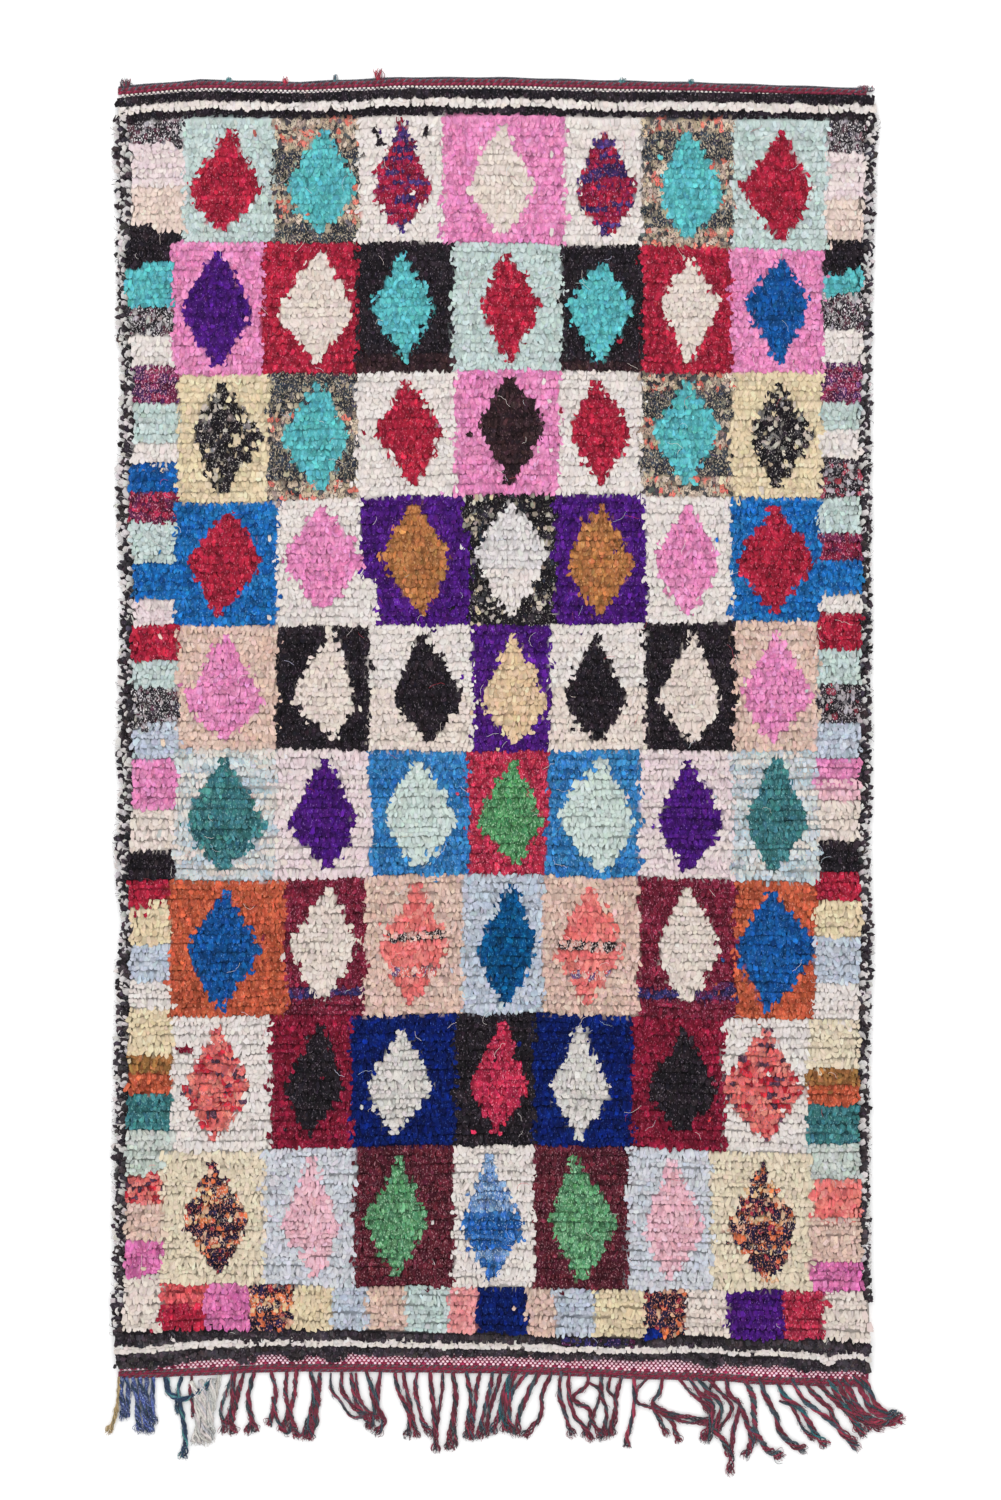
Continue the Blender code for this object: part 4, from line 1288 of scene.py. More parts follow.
# The white stitches drift along the edge in these waves.
Drift = collections.namedtuple("Drift", "size speed start")
STITCH_DRIFTS = [Drift(0.5, 9, 1), Drift(0.35, 27, 0)]
STITCHES_ASTRAY = 0.06
ASTRAY_WHITE = 0.4  # share of those that are white
COLUMN_JITTER = 0.5
RIM_FIBRES = 260
RIM_FIBRE_POINTS = 5
RIM_FIBRE_RADIUS = 0.4 * MM
RIM_FIBRE_ROOT = 5 * MM  # how far inside the rim the fibres start
RIM_FIBRE_REACH = (2, 7)  # millimetres out from there and back
RIM_FIBRE_RISE = 9  # millimetres along the rim, either way
RIM_FIBRE_CURL = 2.4
RIM_FIBRE_LIFT = 2 * MM
# How much of each selvedge is white along its length, in thousandths.
WhiteShare = collections.namedtuple("WhiteShare", "y left right")
WHITE_SHARES = [
    WhiteShare(1112, 520, 420), WhiteShare(700, 560, 360), WhiteShare(430, 600, 300),
    WhiteShare(250, 420, 280), WhiteShare(-100, 440, 300), WhiteShare(-500, 330, 300),
    WhiteShare(-1110, 260, 300),
]


def overcast_yarns(luck, y, slant, side):
    """White stitches at an even pitch between black ones, but for a few astray."""
    drift = sum(d.size * np.sin(y * d.speed + d.start) for d in STITCH_DRIFTS)
    phase = ((y + slant) / STITCH_PITCH + drift) % 1
    white = phase < along(WHITE_SHARES, side, y, "y")
    astray = luck.random(len(y)) < STITCHES_ASTRAY
    white = np.where(astray, luck.random(len(y)) < ASTRAY_WHITE, white)
    return np.where(white, yarn_number("grey white"), yarn_number("charcoal"))


def rim_fibres(luck, side, sign, first, last):
    """Fine pale fibres that curl off the rim."""
    y = luck.uniform(first, last, RIM_FIBRES)
    run = np.linspace(0, 1, RIM_FIBRE_POINTS)
    reach = luck.uniform(*RIM_FIBRE_REACH, (RIM_FIBRES, 1)) * MM
    rise = luck.uniform(-RIM_FIBRE_RISE, RIM_FIBRE_RISE, (RIM_FIBRES, 1)) * MM
    paths = np.zeros((RIM_FIBRES, RIM_FIBRE_POINTS, 3))
    start = side_line(side + "_rim", y) - sign * RIM_FIBRE_ROOT
    out = reach * np.sin(run * RIM_FIBRE_CURL) + RIM_FIBRE_ROOT * run
    paths[:, :, 0] = start[:, None] + sign * out
    paths[:, :, 1] = y[:, None] + rise * run
    lift = RIM_FIBRE_LIFT * luck.standard_normal((RIM_FIBRES, 1))
    paths[:, :, 2] = SELVEDGE_LEVEL + lift * run
    yarns = numbers(luck.choice(["grey white", "grey white", "charcoal"], RIM_FIBRES))
    return tubes(paths, RIM_FIBRE_RADIUS, 3, yarn_colours(luck, yarns, vary=0.1))


def selvedge(side, sign, material):
    """Overcast tufts along one long edge, over a rounded core."""
    luck = dice("selvedge_" + side)
    low = float(cloth_foot(sign * SELVEDGE_PLACE))
    high = float(cloth_top(sign * SELVEDGE_PLACE))
    first = low + FOOT_BANDS_DEPTH[side]
    last = high - HEAD_BANDS_DEPTH
    steps = round((last - first) / SELVEDGE_STEP)
    batches = []
    for column in range(SELVEDGE_COLUMNS):
        y = first + (np.arange(steps) + luck.random(steps)) * (last - first) / steps
        share = (column + luck.uniform(0, COLUMN_JITTER, steps)) / SELVEDGE_COLUMNS
        inner = side_line(side + "_pile", y) - sign * SELVEDGE_INNER
        outer = side_line(side + "_rim", y) - sign * SELVEDGE_OUTER
        x = inner * (1 - share) + outer * share
        roots = np.stack([x, y, SELVEDGE_LEVEL - share * SELVEDGE_SLOPE], 1)
        heading = sign * SELVEDGE_HEADING + SELVEDGE_HEADING_SPREAD * luck.standard_normal(steps)
        length = (SELVEDGE_LENGTHS[0] + SELVEDGE_LENGTHS[1] * luck.random(steps)) * MM
        height = (SELVEDGE_HEIGHTS[0] - SELVEDGE_HEIGHTS[1] * share) * MM
        height = height * varied(luck, SELVEDGE_HEIGHT_SPREAD, steps)
        width = SELVEDGE_WIDTH * varied(luck, SELVEDGE_WIDTH_SPREAD, steps)
        thickness = np.full(steps, SELVEDGE_THICKNESS)
        yarns = overcast_yarns(luck, y, -column * STITCH_SLANT, side)
        colours = yarn_colours(luck, yarns, vary=0.08)
        batches.append(
            tufts(luck, roots, heading, length, height, width, thickness, colours)
        )
    batches.append(rim_fibres(luck, side, sign, first, last))
    core_y = np.linspace(low + CORE_ENDS, high - CORE_ENDS, CORE_RINGS)
    core_x = side_line(side + "_rim", core_y) - sign * CORE_INSET
    path = np.stack([core_x, core_y, np.full(CORE_RINGS, SELVEDGE_CORE / 2 + CORE_LIFT)], 1)
    core_colours = yarn_colours(luck, np.array([yarn_number("charcoal")]), vary=0.01)
    batches.append(tubes(path[None], SELVEDGE_CORE / 2, CORE_SIDES, core_colours))
    made = piece("selvedge_tufts_" + side, batches, material, crisp=True)
    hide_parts("selvedge_" + side)
    return made


# The end cords

CORD_TURN = 12 * MM
CORD_RINGS = 540
CORD_SIDES = 4
CORD_ENDS = (-0.650, 0.646)
CORD_WAVER = 0.5 * MM
CORD_WAVES = 60
CORD_LIFT = 0.4  # how far the plies stay clear of the floor, in millimetres
PLY_OFFSET = 0.85  # how far a ply winds from the middle of its rope, in its own radii
# A rope lies this far in from the rug's edge, and each of its plies has this radius, in
# millimetres.
Rope = collections.namedtuple("Rope", "inset ply yarns")
HEAD_ROPES = [
    Rope(0.2, 1.2, ("slate", "slate green", "slate")),
    Rope(5.0, 2.0, ("cord red", "dark red", "slate")),
    Rope(10.6, 2.0, ("cord red", "cord red", "dark red")),
]
FOOT_ROPES = [
    Rope(2.4, 1.4, ("cord red", "dark red", "slate")),
    Rope(6.8, 1.4, ("dark red", "cord red", "cord red")),
    Rope(11.2, 1.4, ("cord red", "slate", "dark red")),
]


def end_cord(ropes, edge, inwards, luck):
    """Ropes side by side along one end. inwards is -1 at the head and 1 at the foot."""
    batches = []
    for rope in ropes:
        x = np.linspace(*CORD_ENDS, CORD_RINGS)
        waver = CORD_WAVER * np.sin(x * CORD_WAVES + rope.inset)
        y = edge(x) + inwards * rope.inset * MM + waver
        z = np.full(CORD_RINGS, (CORD_LIFT + (1 + PLY_OFFSET) * rope.ply) * MM)
        path = np.stack([x, y, z], 1)
        colours = yarn_colours(luck, numbers(rope.yarns), vary=0.05)
        batches.append(
            twisted(path, len(rope.yarns), rope.ply * PLY_OFFSET * MM, rope.ply * MM,
                    CORD_TURN, rope.inset, CORD_SIDES, colours)
        )
    return batches


# Yarn ends that stick up from the head cord, in millimetres.
HeadTuft = collections.namedtuple("HeadTuft", "x width rise yarns")
HEAD_TUFTS = [
    HeadTuft(-640, 20, 15, ("sea", "dark red", "slate green")),
    HeadTuft(-634, 14, 12, ("dark red", "slate green")),
    HeadTuft(-459, 9, 8, ("teal",)),
    HeadTuft(-362, 8, 10, ("ruby",)),
    HeadTuft(-276, 6, 12, ("slate", "teal")),
    HeadTuft(-199, 20, 21, ("ruby", "dark red")),
    HeadTuft(223, 12, 6, ("teal",)),
    HeadTuft(342, 9, 7, ("teal",)),
    HeadTuft(636, 20, 5, ("sea", "cord red", "slate")),
    HeadTuft(650, 18, 7, ("teal", "cord red", "slate")),
]


FIBRE_POINTS = 6
FIBRE_CURL = 0.22
FIBRE_LENGTHS = (0.6, 1.05)  # as shares of the brush's length
FIBRE_TAPER = 0.5
ROOT_BREADTH = 0.35  # a brush's breadth at its root, as a share of its full breadth
FIBRE_ARCH = 1.6 * MM
FLOOR_CLEARANCE = 0.2 * MM
END_FIBRES = 18
END_RADIUS = 1.0 * MM
END_ROOT = 5 * MM  # how far inside the edge the yarn ends start


def loose_ends(luck, base, reach, breadth, yarns, count, radius):
    """A brush of fibres from base, spreading to this breadth at this reach."""
    run = np.linspace(0, 1, FIBRE_POINTS)
    side = luck.uniform(-0.5, 0.5, count)
    long = luck.uniform(*FIBRE_LENGTHS, count)
    curl = FIBRE_CURL * luck.standard_normal(count)
    direction = np.asarray(reach)
    across = np.array((-direction[1], direction[0], 0.0))
    across = across / np.linalg.norm(across)
    paths = (
        np.asarray(base)
        + run[None, :, None] * long[:, None, None] * direction
        + (side[:, None] * breadth * (ROOT_BREADTH + (1 - ROOT_BREADTH) * run))[..., None] * across
        + (curl[:, None] * breadth * np.sin(run * 3.1))[..., None] * across
    )
    paths[:, :, 2] += FIBRE_ARCH * luck.random((count, 1)) * np.sin(run * math.pi)
    paths[:, :, 2] = np.maximum(paths[:, :, 2], radius + FLOOR_CLEARANCE)
    colours = yarn_colours(luck, numbers(luck.choice(yarns, count)), vary=0.06)
    thin = radius * (1 - FIBRE_TAPER * run)
    return tubes(paths, thin[None, :], 3, colours)


def head_cord(material):
    luck = dice("head_cord")
    batches = end_cord(HEAD_ROPES, head_edge, -1, luck)
    for tuft in HEAD_TUFTS:
        base = (tuft.x * MM, float(head_edge(tuft.x * MM)) - END_ROOT, 4 * MM)
        reach = (2 * MM * luck.uniform(-1, 1), tuft.rise * MM + END_ROOT, 0.0)
        batches.append(
            loose_ends(luck, base, reach, tuft.width * MM, tuft.yarns, END_FIBRES, END_RADIUS)
        )
    made = piece("head_cord_plies", batches, material)
    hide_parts("head_cord")
    return made


# The fringe. A strand's route is charted from its root to its tip, and so is its width; each
# strand is a loose twist of four yarns.
Strand = collections.namedtuple("Strand", "width yarns route")
RED = ("dark red", "slate green", "dark red", "dark red")
DULL = ("dark red", "slate green", "slate green", "dark red")
SEA = ("dark red", "sea", "slate green", "dark red")
SLATE = ("slate green", "slate", "dark red", "slate green")
BLUE = ("periwinkle", "periwinkle", "navy teal", "periwinkle")
GREY = ("grey beige", "grey beige", "grey beige", "grey beige")
NAVY = ("navy teal", "teal", "navy teal", "navy teal")
YELLOW = ("tan yellow", "tan yellow", "tan yellow", "tan yellow")
STRANDS = [
    Strand(4.0, YELLOW, [(118, 1378), (118, 1400), (113, 1420), (108, 1433)]),
    Strand(5.0, BLUE, [(121, 1378), (121, 1398), (124, 1419)]),
    Strand(4.5, BLUE, [(126, 1378), (128, 1398), (125, 1417)]),
    Strand(5.0, BLUE, [(132, 1378), (136, 1400), (139, 1432)]),
    Strand(5.5, BLUE, [(139, 1378), (142, 1402), (147, 1432)]),
    Strand(5.0, BLUE, [(146, 1378), (146, 1400), (153, 1424)]),
    Strand(4.5, BLUE, [(152, 1378), (152, 1402), (150, 1433)]),
    Strand(4.5, NAVY, [(165, 1378), (167, 1392), (178, 1399), (192, 1397), (205, 1388), (213, 1383)]),
    Strand(3.5, NAVY, [(167, 1379), (170, 1396), (183, 1401), (197, 1393), (210, 1386)]),
    Strand(4.0, NAVY, [(181, 1378), (177, 1398), (178, 1414)]),
    Strand(5.0, NAVY, [(180, 1400), (182, 1420), (185, 1440), (182, 1459)]),
    Strand(3.0, RED, [(191, 1377), (190, 1396), (194, 1418)]),
    Strand(6.5, GREY, [(190, 1382), (197, 1405), (197, 1428), (197, 1443)]),
    Strand(7.0, GREY, [(200, 1381), (203, 1408), (204, 1444)]),
    Strand(7.0, GREY, [(213, 1380), (211, 1405), (209, 1441)]),
    Strand(5.0, GREY, [(219, 1376), (214, 1400), (206, 1432)]),
    Strand(3.5, SLATE, [(232, 1374), (226, 1394), (220, 1412), (226, 1428)]),
    Strand(4.5, RED, [(235, 1374), (232, 1394), (230, 1412), (221, 1433)]),
    Strand(5.0, RED, [(243, 1374), (238, 1395), (232, 1420), (233, 1435)]),
    Strand(5.0, DULL, [(254, 1374), (248, 1395), (250, 1415), (255, 1433)]),
    Strand(4.0, RED, [(249, 1402), (251, 1420), (246, 1434)]),
    Strand(4.5, RED, [(271, 1372), (275, 1394), (272, 1415), (268, 1427)]),
    Strand(4.0, DULL, [(272, 1398), (276, 1418), (286, 1434), (293, 1425)]),
    Strand(4.5, RED, [(287, 1373), (285, 1394), (288, 1415), (280, 1432)]),
    Strand(4.5, RED, [(297, 1371), (294, 1394), (291, 1415), (297, 1439)]),
    Strand(5.0, DULL, [(310, 1373), (314, 1392), (311, 1412), (303, 1438)]),
    Strand(5.0, RED, [(320, 1374), (318, 1398), (314, 1420), (308, 1441)]),
    Strand(3.5, DULL, [(314, 1406), (317, 1424), (307, 1436)]),
    Strand(3.0, SLATE, [(331, 1374), (331, 1391), (341, 1403), (352, 1418), (364, 1416)]),
    Strand(4.5, RED, [(341, 1373), (342, 1391), (352, 1407), (368, 1418)]),
    Strand(4.0, DULL, [(351, 1374), (353, 1394), (360, 1411), (372, 1428)]),
    Strand(3.5, RED, [(356, 1374), (357, 1393), (366, 1410), (379, 1420)]),
    Strand(4.5, DULL, [(366, 1372), (372, 1394), (374, 1412), (368, 1430)]),
    Strand(5.0, RED, [(381, 1373), (377, 1394), (378, 1409), (384, 1422), (376, 1434)]),
    Strand(4.5, DULL, [(395, 1374), (400, 1397), (410, 1419), (407, 1437)]),
    Strand(4.5, RED, [(404, 1373), (407, 1394), (412, 1415), (416, 1438)]),
    Strand(4.5, RED, [(417, 1374), (416, 1397), (422, 1420), (429, 1434)]),
    Strand(5.0, RED, [(430, 1373), (432, 1397), (435, 1424), (435, 1452)]),
    Strand(3.5, RED, [(443, 1373), (441, 1397), (438, 1420), (432, 1438)]),
    Strand(5.5, RED, [(452, 1374), (456, 1397), (452, 1424), (449, 1451)]),
    Strand(3.0, DULL, [(454, 1404), (455, 1425), (455, 1447)]),
    Strand(4.5, DULL, [(467, 1373), (470, 1397), (469, 1419), (466, 1439)]),
    Strand(4.5, RED, [(480, 1373), (476, 1397), (473, 1420), (471, 1441)]),
    Strand(4.5, DULL, [(492, 1373), (489, 1396), (482, 1419), (479, 1440)]),
    Strand(4.5, RED, [(501, 1373), (495, 1396), (488, 1418), (485, 1437)]),
    Strand(5.0, SEA, [(512, 1373), (504, 1393), (500, 1413), (492, 1434)]),
    Strand(5.5, SEA, [(516, 1374), (507, 1396), (504, 1418), (506, 1432)]),
    Strand(4.5, DULL, [(528, 1374), (514, 1390), (509, 1410), (511, 1434)]),
    Strand(5.5, DULL, [(541, 1373), (530, 1391), (521, 1411), (515, 1436)]),
    Strand(4.5, RED, [(552, 1373), (543, 1394), (540, 1417), (525, 1438)]),
    Strand(4.5, DULL, [(561, 1372), (560, 1397), (566, 1417), (573, 1436)]),
    Strand(4.5, RED, [(570, 1373), (569, 1397), (574, 1415), (586, 1430), (592, 1441)]),
    Strand(4.5, RED, [
        (589, 1374), (587, 1387), (574, 1397), (577, 1404), (589, 1410), (593, 1424), (602, 1436),
    ]),
    Strand(3.5, DULL, [(590, 1384), (600, 1392), (597, 1408), (590, 1424), (585, 1437)]),
    Strand(4.5, DULL, [(602, 1375), (601, 1394), (607, 1410), (604, 1430), (600, 1440)]),
    Strand(3.5, RED, [(611, 1376), (609, 1391), (616, 1402), (613, 1420), (608, 1437)]),
    Strand(4.5, RED, [(623, 1376), (617, 1394), (616, 1414), (611, 1436)]),
    Strand(4.5, DULL, [(635, 1378), (634, 1404), (632, 1424), (627, 1440), (628, 1448)]),
    Strand(3.0, RED, [(649, 1378), (638, 1391), (637, 1403), (650, 1408), (660, 1410)]),
    Strand(4.0, DULL, [(664, 1377), (660, 1394), (652, 1404), (660, 1420), (667, 1436)]),
    Strand(4.5, RED, [(652, 1403), (662, 1414), (673, 1425), (680, 1443)]),
    Strand(4.0, DULL, [(654, 1405), (664, 1412), (682, 1417), (708, 1421)]),
    Strand(3.5, RED, [(662, 1414), (684, 1423), (708, 1424)]),
    Strand(3.5, RED, [(678, 1378), (690, 1393), (704, 1404), (714, 1414)]),
    Strand(5.0, RED, [(690, 1378), (700, 1394), (712, 1405), (712, 1420), (702, 1441)]),
    Strand(5.0, DULL, [(698, 1378), (708, 1392), (720, 1403), (722, 1412), (716, 1425), (707, 1442)]),
    Strand(3.0, RED, [(716, 1379), (709, 1391), (701, 1400), (708, 1412)]),
    Strand(4.0, RED, [(708, 1380), (722, 1394), (732, 1408), (726, 1422), (716, 1432)]),
    Strand(5.0, DULL, [(712, 1428), (722, 1440), (731, 1456)]),
    Strand(5.0, RED, [(728, 1379), (730, 1395), (740, 1407), (735, 1428), (732, 1452), (730, 1474)]),
    Strand(5.0, RED, [(738, 1400), (742, 1410), (748, 1426), (752, 1442), (745, 1458)]),
    Strand(3.5, SEA, [(746, 1424), (756, 1438), (750, 1450)]),
    Strand(6.0, DULL, [(744, 1379), (753, 1398), (755, 1418), (758, 1436), (768, 1451), (782, 1458)]),
    Strand(6.0, SEA, [(761, 1380), (767, 1400), (776, 1416), (782, 1434), (795, 1447), (806, 1450)]),
    Strand(5.5, SEA, [(777, 1380), (786, 1399), (800, 1408), (808, 1419), (816, 1436), (827, 1448)]),
    Strand(3.5, DULL, [(780, 1402), (792, 1408), (804, 1430), (814, 1440)]),
    Strand(5.0, SEA, [(792, 1380), (803, 1399), (818, 1412), (833, 1424), (848, 1440), (858, 1449)]),
    Strand(5.0, RED, [(802, 1380), (816, 1396), (830, 1410), (838, 1426), (856, 1446)]),
    Strand(5.0, RED, [(815, 1380), (830, 1397), (846, 1412), (860, 1432)]),
    Strand(5.0, SEA, [(829, 1379), (840, 1399), (852, 1416), (865, 1437)]),
    Strand(5.0, RED, [(838, 1379), (846, 1398), (858, 1416), (872, 1430)]),
    Strand(6.5, RED, [(846, 1376), (851, 1395), (862, 1412), (880, 1424), (896, 1424)]),
    Strand(6.5, RED, [(854, 1376), (864, 1394), (872, 1410), (888, 1418), (903, 1420)]),
    Strand(6.0, DULL, [(862, 1377), (871, 1392), (878, 1408), (888, 1415), (897, 1416)]),
    Strand(5.5, RED, [(848, 1384), (856, 1404), (868, 1421), (882, 1430)]),
]
STRAND_RINGS = 34
STRAND_TURN = 34 * MM
STRAND_LEVEL = 4.0 * MM
STRAND_WAVER = 0.8 * MM
STRAND_SIDES = 5
SPLAY_START = 0.6  # how far down a strand its yarns begin to part
SPLAY = 1.5  # how much further apart they are at its tip
TURN_RANGE = (0.7, 1.6)  # how much looser or tighter a strand may be twisted
YARN_RADIUS = 0.235  # of one yarn, as a share of the strand's width
TIP_THINNING = 0.4
YARN_LUMPS = 0.1
YARN_WANDER = 0.45  # how far a yarn's distance from the middle comes and goes
YARN_OFFSET = 0.3  # how far it winds from the strand's middle, as a share of the width
FRAY_START = 13 * MM  # how far above a strand's tip its fray begins
FRAY_LENGTHS = (15, 21)  # millimetres
FRAY_BREADTH = 1.9  # of the frayed tip, in widths of the strand
FRAY_FIBRES = 16
FRAY_RADIUS = 0.75 * MM


def smooth_route(points, count):
    """A curve through the points, as this many places along it."""
    points = np.asarray(points, float)
    ends = np.concatenate([[2 * points[0] - points[1]], points, [2 * points[-1] - points[-2]]])
    place = np.linspace(0, len(points) - 1, count)
    first = np.minimum(place.astype(int), len(points) - 2)
    share = (place - first)[:, None]
    a, b, c, d = (ends[first + step] for step in range(4))
    return 0.5 * (
        2 * b + (c - a) * share + (2 * a - 5 * b + 4 * c - d) * share**2
        + (3 * b - a - 3 * c + d) * share**3
    )


def strand_yarns(luck, strand):
    """The yarns of one strand, loosely twisted and parting towards its frayed tip."""
    route = smooth_route(strand.route, STRAND_RINGS)
    x, y = from_chart(route[:, 0], route[:, 1])
    share = np.linspace(0, 1, STRAND_RINGS)
    waver = STRAND_WAVER * np.sin(share * 11 + luck.uniform(0, 6))
    path = np.stack([x + waver, y, np.full(STRAND_RINGS, STRAND_LEVEL)], 1)
    way = unit(np.gradient(path, axis=0))
    aside = unit(np.cross(way, UP))
    run = np.concatenate([[0], np.cumsum(np.linalg.norm(np.diff(path, axis=0), axis=1))])
    width = strand.width * CHART_STEP
    splay = 1 + SPLAY * np.clip((share - SPLAY_START) / (1 - SPLAY_START), 0, 1) ** 2
    start = luck.uniform(0, 1)
    turn = STRAND_TURN * luck.uniform(*TURN_RANGE)
    radius = width * YARN_RADIUS * (1 - TIP_THINNING * share**4)
    radius = radius * (1 + YARN_LUMPS * np.sin(share * 40))
    paths = []
    for number in range(len(strand.yarns)):
        astray = 1 + YARN_WANDER * np.sin(share * luck.uniform(8, 16) + luck.uniform(0, 6))
        angle = (start + run / turn + number / len(strand.yarns)) * 2 * math.pi
        out = width * YARN_OFFSET * astray * np.minimum(1, 0.5 + 4 * share)
        room = STRAND_LEVEL - radius - FLOOR_CLEARANCE
        lift = np.clip(room, 0, np.minimum(out, STRAND_LEVEL / 2))
        paths.append(
            path + aside * (out * splay * np.cos(angle))[:, None]
            + UP * (lift * np.sin(angle))[:, None]
        )
    colours = yarn_colours(luck, numbers(strand.yarns), vary=0.05)
    return tubes(np.array(paths), radius[None, :], STRAND_SIDES, colours), path, way


FUZZ_FIBRES = 12
FUZZ_POINTS = 4
FUZZ_RADIUS = 0.45 * MM
FUZZ_LENGTHS = (6, 14)  # millimetres
FUZZ_STAND_OFF = (0.5, 4)  # millimetres
FUZZ_CURL = (1.6, 3.0)


def fuzz(luck, path, way, strand):
    """Short fibres that stand off a strand along its length."""
    places = luck.integers(3, len(path) - 4, FUZZ_FIBRES)
    aside = unit(np.cross(way[places], UP)) * luck.choice([-1.0, 1.0], (FUZZ_FIBRES, 1))
    run = np.linspace(0, 1, FUZZ_POINTS)[None, :, None]
    length = luck.uniform(*FUZZ_LENGTHS, (FUZZ_FIBRES, 1, 1)) * MM
    stand_off = luck.uniform(*FUZZ_STAND_OFF, (FUZZ_FIBRES, 1, 1)) * MM
    stand_off = strand.width * CHART_STEP * YARN_OFFSET + stand_off
    paths = (
        path[places][:, None] + way[places][:, None] * run * length
        + aside[:, None] * stand_off * np.sin(run * luck.uniform(*FUZZ_CURL, (FUZZ_FIBRES, 1, 1)))
    )
    colours = yarn_colours(luck, numbers(luck.choice(strand.yarns, FUZZ_FIBRES)), vary=0.07)
    return tubes(paths, FUZZ_RADIUS, 3, colours)


def fringe(material):
    """The foot cord, and the loosely twisted warp ends that hang from it with frayed tips."""
    luck = dice("fringe")
    cord = piece(
        "foot_cord_plies", end_cord(FOOT_ROPES, foot_edge, 1, luck), material
    )
    batches = []
    for strand in STRANDS:
        twist, path, way = strand_yarns(luck, strand)
        batches.append(twist)
        away = way[-4]
        reach = away * luck.uniform(*FRAY_LENGTHS) * MM
        base = path[-1] - away * FRAY_START
        breadth = strand.width * FRAY_BREADTH * CHART_STEP
        batches.append(
            loose_ends(luck, base, reach, breadth, strand.yarns, FRAY_FIBRES, FRAY_RADIUS)
        )
        batches.append(fuzz(luck, path, way, strand))
    strands = piece("fringe_strands", batches, material)
    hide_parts("fringe")
    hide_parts("fringe")
    return [cord, strands]


# Stray threads

STRAY_THREADS = 260
STRAY_POINTS = 9
STRAY_LEVEL = 18.5 * MM
STRAY_SPAN_X = (-0.62, 0.61)
STRAY_SPAN_Y = (-1.07, 1.06)
STRAY_LENGTHS = (9, 34)  # millimetres
STRAY_CURL = 2.6
STRAY_TURN = 0.3  # how far a thread turns at random from step to step
STRAY_ARCH = 2 * MM
STRAY_RADIUS = 0.3 * MM
STRAY_YARNS = ["white", "ivory", "white", "light blue", "ruby"]


def stray_threads(material):
    """Fine curled threads that have worked loose and lie on the pile."""
    luck = dice("stray_threads")
    x = luck.uniform(*STRAY_SPAN_X, STRAY_THREADS)
    y = luck.uniform(*STRAY_SPAN_Y, STRAY_THREADS)
    length = luck.uniform(*STRAY_LENGTHS, STRAY_THREADS) * MM
    heading = luck.uniform(0, 2 * math.pi, STRAY_THREADS)
    curl = luck.uniform(-STRAY_CURL, STRAY_CURL, STRAY_THREADS)
    step = length / (STRAY_POINTS - 1)
    paths = np.zeros((STRAY_THREADS, STRAY_POINTS, 3))
    paths[:, 0] = np.stack([x, y, np.full(STRAY_THREADS, STRAY_LEVEL)], 1)
    for number in range(1, STRAY_POINTS):
        turn = STRAY_TURN * luck.standard_normal(STRAY_THREADS)
        angle = heading + curl * number / STRAY_POINTS + turn
        paths[:, number, 0] = paths[:, number - 1, 0] + step * np.cos(angle)
        paths[:, number, 1] = paths[:, number - 1, 1] + step * np.sin(angle)
        arch = math.sin(number / (STRAY_POINTS - 1) * math.pi)
        paths[:, number, 2] = STRAY_LEVEL + STRAY_ARCH * arch - STRAY_ARCH / 2
    radius = np.full((1, STRAY_POINTS), STRAY_RADIUS)
    yarns = numbers(luck.choice(STRAY_YARNS, STRAY_THREADS))
    colours = yarn_colours(luck, yarns, vary=0.1)
    return piece("stray_threads", [tubes(paths, radius, 3, colours)], material)


# The studio

CAMERA_LENS = 85
SENSOR = 36
FRAME_HEIGHT = 1500 * CHART_STEP
FRAME_MIDDLE = (500.5, 750)
FOCUS_LEVEL = 15 * MM  # the frame is as high as the photograph's at this height
FAR_CLIP = 50
FLOOR_SIZE = 40
FLOOR_LEVEL = -0.6 * MM
FLOOR_COLOUR = (250, 250, 250)
FLOOR_ROUGHNESS = 0.9
FLOOR_SPECULAR = 0.1
SKY_STRENGTH = 1.18
SOFTBOX_PLACE = (-0.8, 3.6, 3.2)
SOFTBOX_SIZE = (4.0, 2.0)
SOFTBOX_POWER = 56


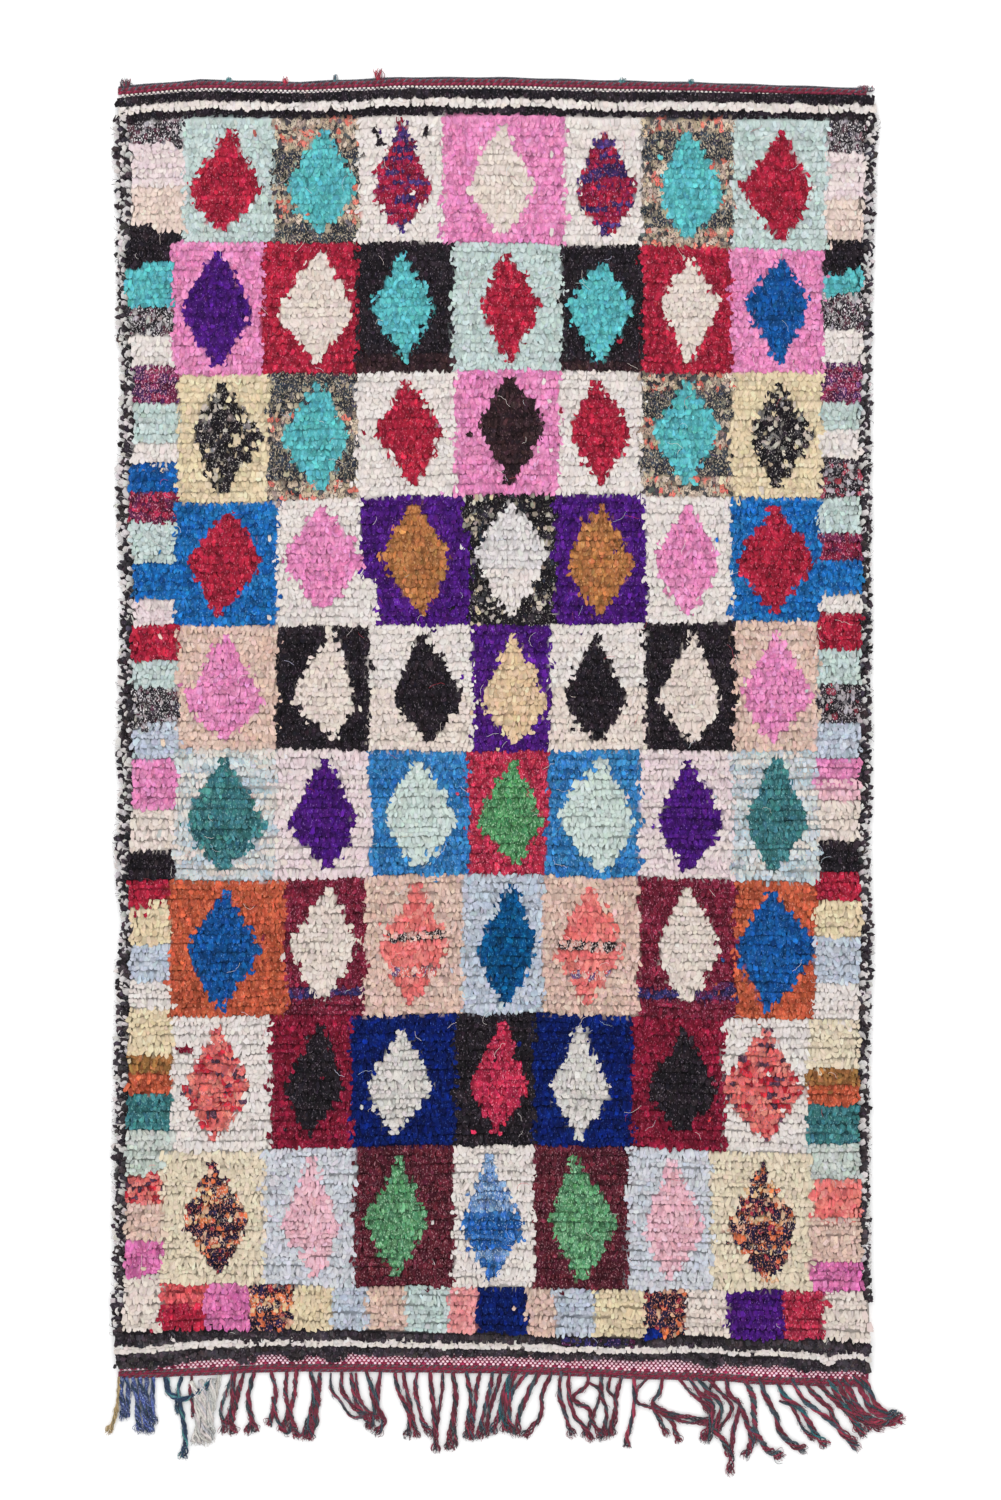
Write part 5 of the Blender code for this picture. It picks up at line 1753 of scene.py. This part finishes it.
def studio():
    """A pale floor, a soft sky and one large soft light from beyond the head of the rug."""
    bpy.ops.mesh.primitive_plane_add(size=FLOOR_SIZE, location=(0, 0, FLOOR_LEVEL))
    floor = bpy.context.active_object
    floor.name = "floor"
    paper = bpy.data.materials.new("floor_paper")
    paper.use_nodes = True
    shader = paper.node_tree.nodes["Principled BSDF"]
    shader.inputs["Base Color"].default_value = (*linear(FLOOR_COLOUR), 1)
    shader.inputs["Roughness"].default_value = FLOOR_ROUGHNESS
    shader.inputs["Specular IOR Level"].default_value = FLOOR_SPECULAR
    floor.data.materials.append(paper)
    world = bpy.data.worlds.new("soft_sky")
    world.use_nodes = True
    sky = world.node_tree.nodes["Background"]
    sky.inputs["Color"].default_value = (1, 1, 1, 1)
    sky.inputs["Strength"].default_value = SKY_STRENGTH
    bpy.context.scene.world = world
    lamp = bpy.data.lights.new("head_softbox", "AREA")
    lamp.shape = "RECTANGLE"
    lamp.size, lamp.size_y = SOFTBOX_SIZE
    lamp.energy = SOFTBOX_POWER
    softbox = bpy.data.objects.new("head_softbox", lamp)
    softbox.location = SOFTBOX_PLACE
    aim = np.array(softbox.location) * -1
    softbox.rotation_euler = (
        math.atan2(math.hypot(aim[0], aim[1]), -aim[2]), 0, math.atan2(aim[1], aim[0]) - math.pi / 2
    )
    bpy.context.scene.collection.objects.link(softbox)
    bpy.context.scene.view_settings.view_transform = "Standard"


def camera():
    """Straight down on the rug, so that the frame is as high as the photograph's."""
    lens = bpy.data.cameras.new("camera")
    lens.lens = CAMERA_LENS
    lens.sensor_width = SENSOR
    lens.clip_end = FAR_CLIP
    eye = bpy.data.objects.new("camera", lens)
    x, y = from_chart(*FRAME_MIDDLE)
    eye.location = (x, y, FRAME_HEIGHT * CAMERA_LENS / SENSOR + FOCUS_LEVEL)
    bpy.context.scene.collection.objects.link(eye)
    bpy.context.scene.camera = eye


def main():
    rag = yarn_material("rag")
    band_rag = yarn_material("band_rag")
    selvedge_yarn = yarn_material("selvedge_yarn")
    cord_yarn = yarn_material("cord_yarn")
    weave = yarn_material("weave")
    cloth = ground_cloth(weave)
    with_cloth = pile(rag, band_rag)
    with_cloth.append(pile_bed(rag))
    with_cloth.append(
        kilim_strip("foot_kilim", cloth_foot, FOOT_KILIM_WIDTH, "pink weave", "rose", weave)
    )
    with_cloth.append(
        kilim_strip(
            "head_kilim", lambda x: cloth_top(x) - HEAD_KILIM_WIDTH, HEAD_KILIM_WIDTH, "white",
            "pale pink", weave,
        )
    )
    with_cloth.append(selvedge("left", -1, selvedge_yarn))
    with_cloth.append(selvedge("right", 1, selvedge_yarn))
    with_cloth.append(head_cord(cord_yarn))
    with_cloth.extend(fringe(cord_yarn))
    with_cloth.append(stray_threads(cord_yarn))
    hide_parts("knotted_body")
    studio()
    camera()


main()
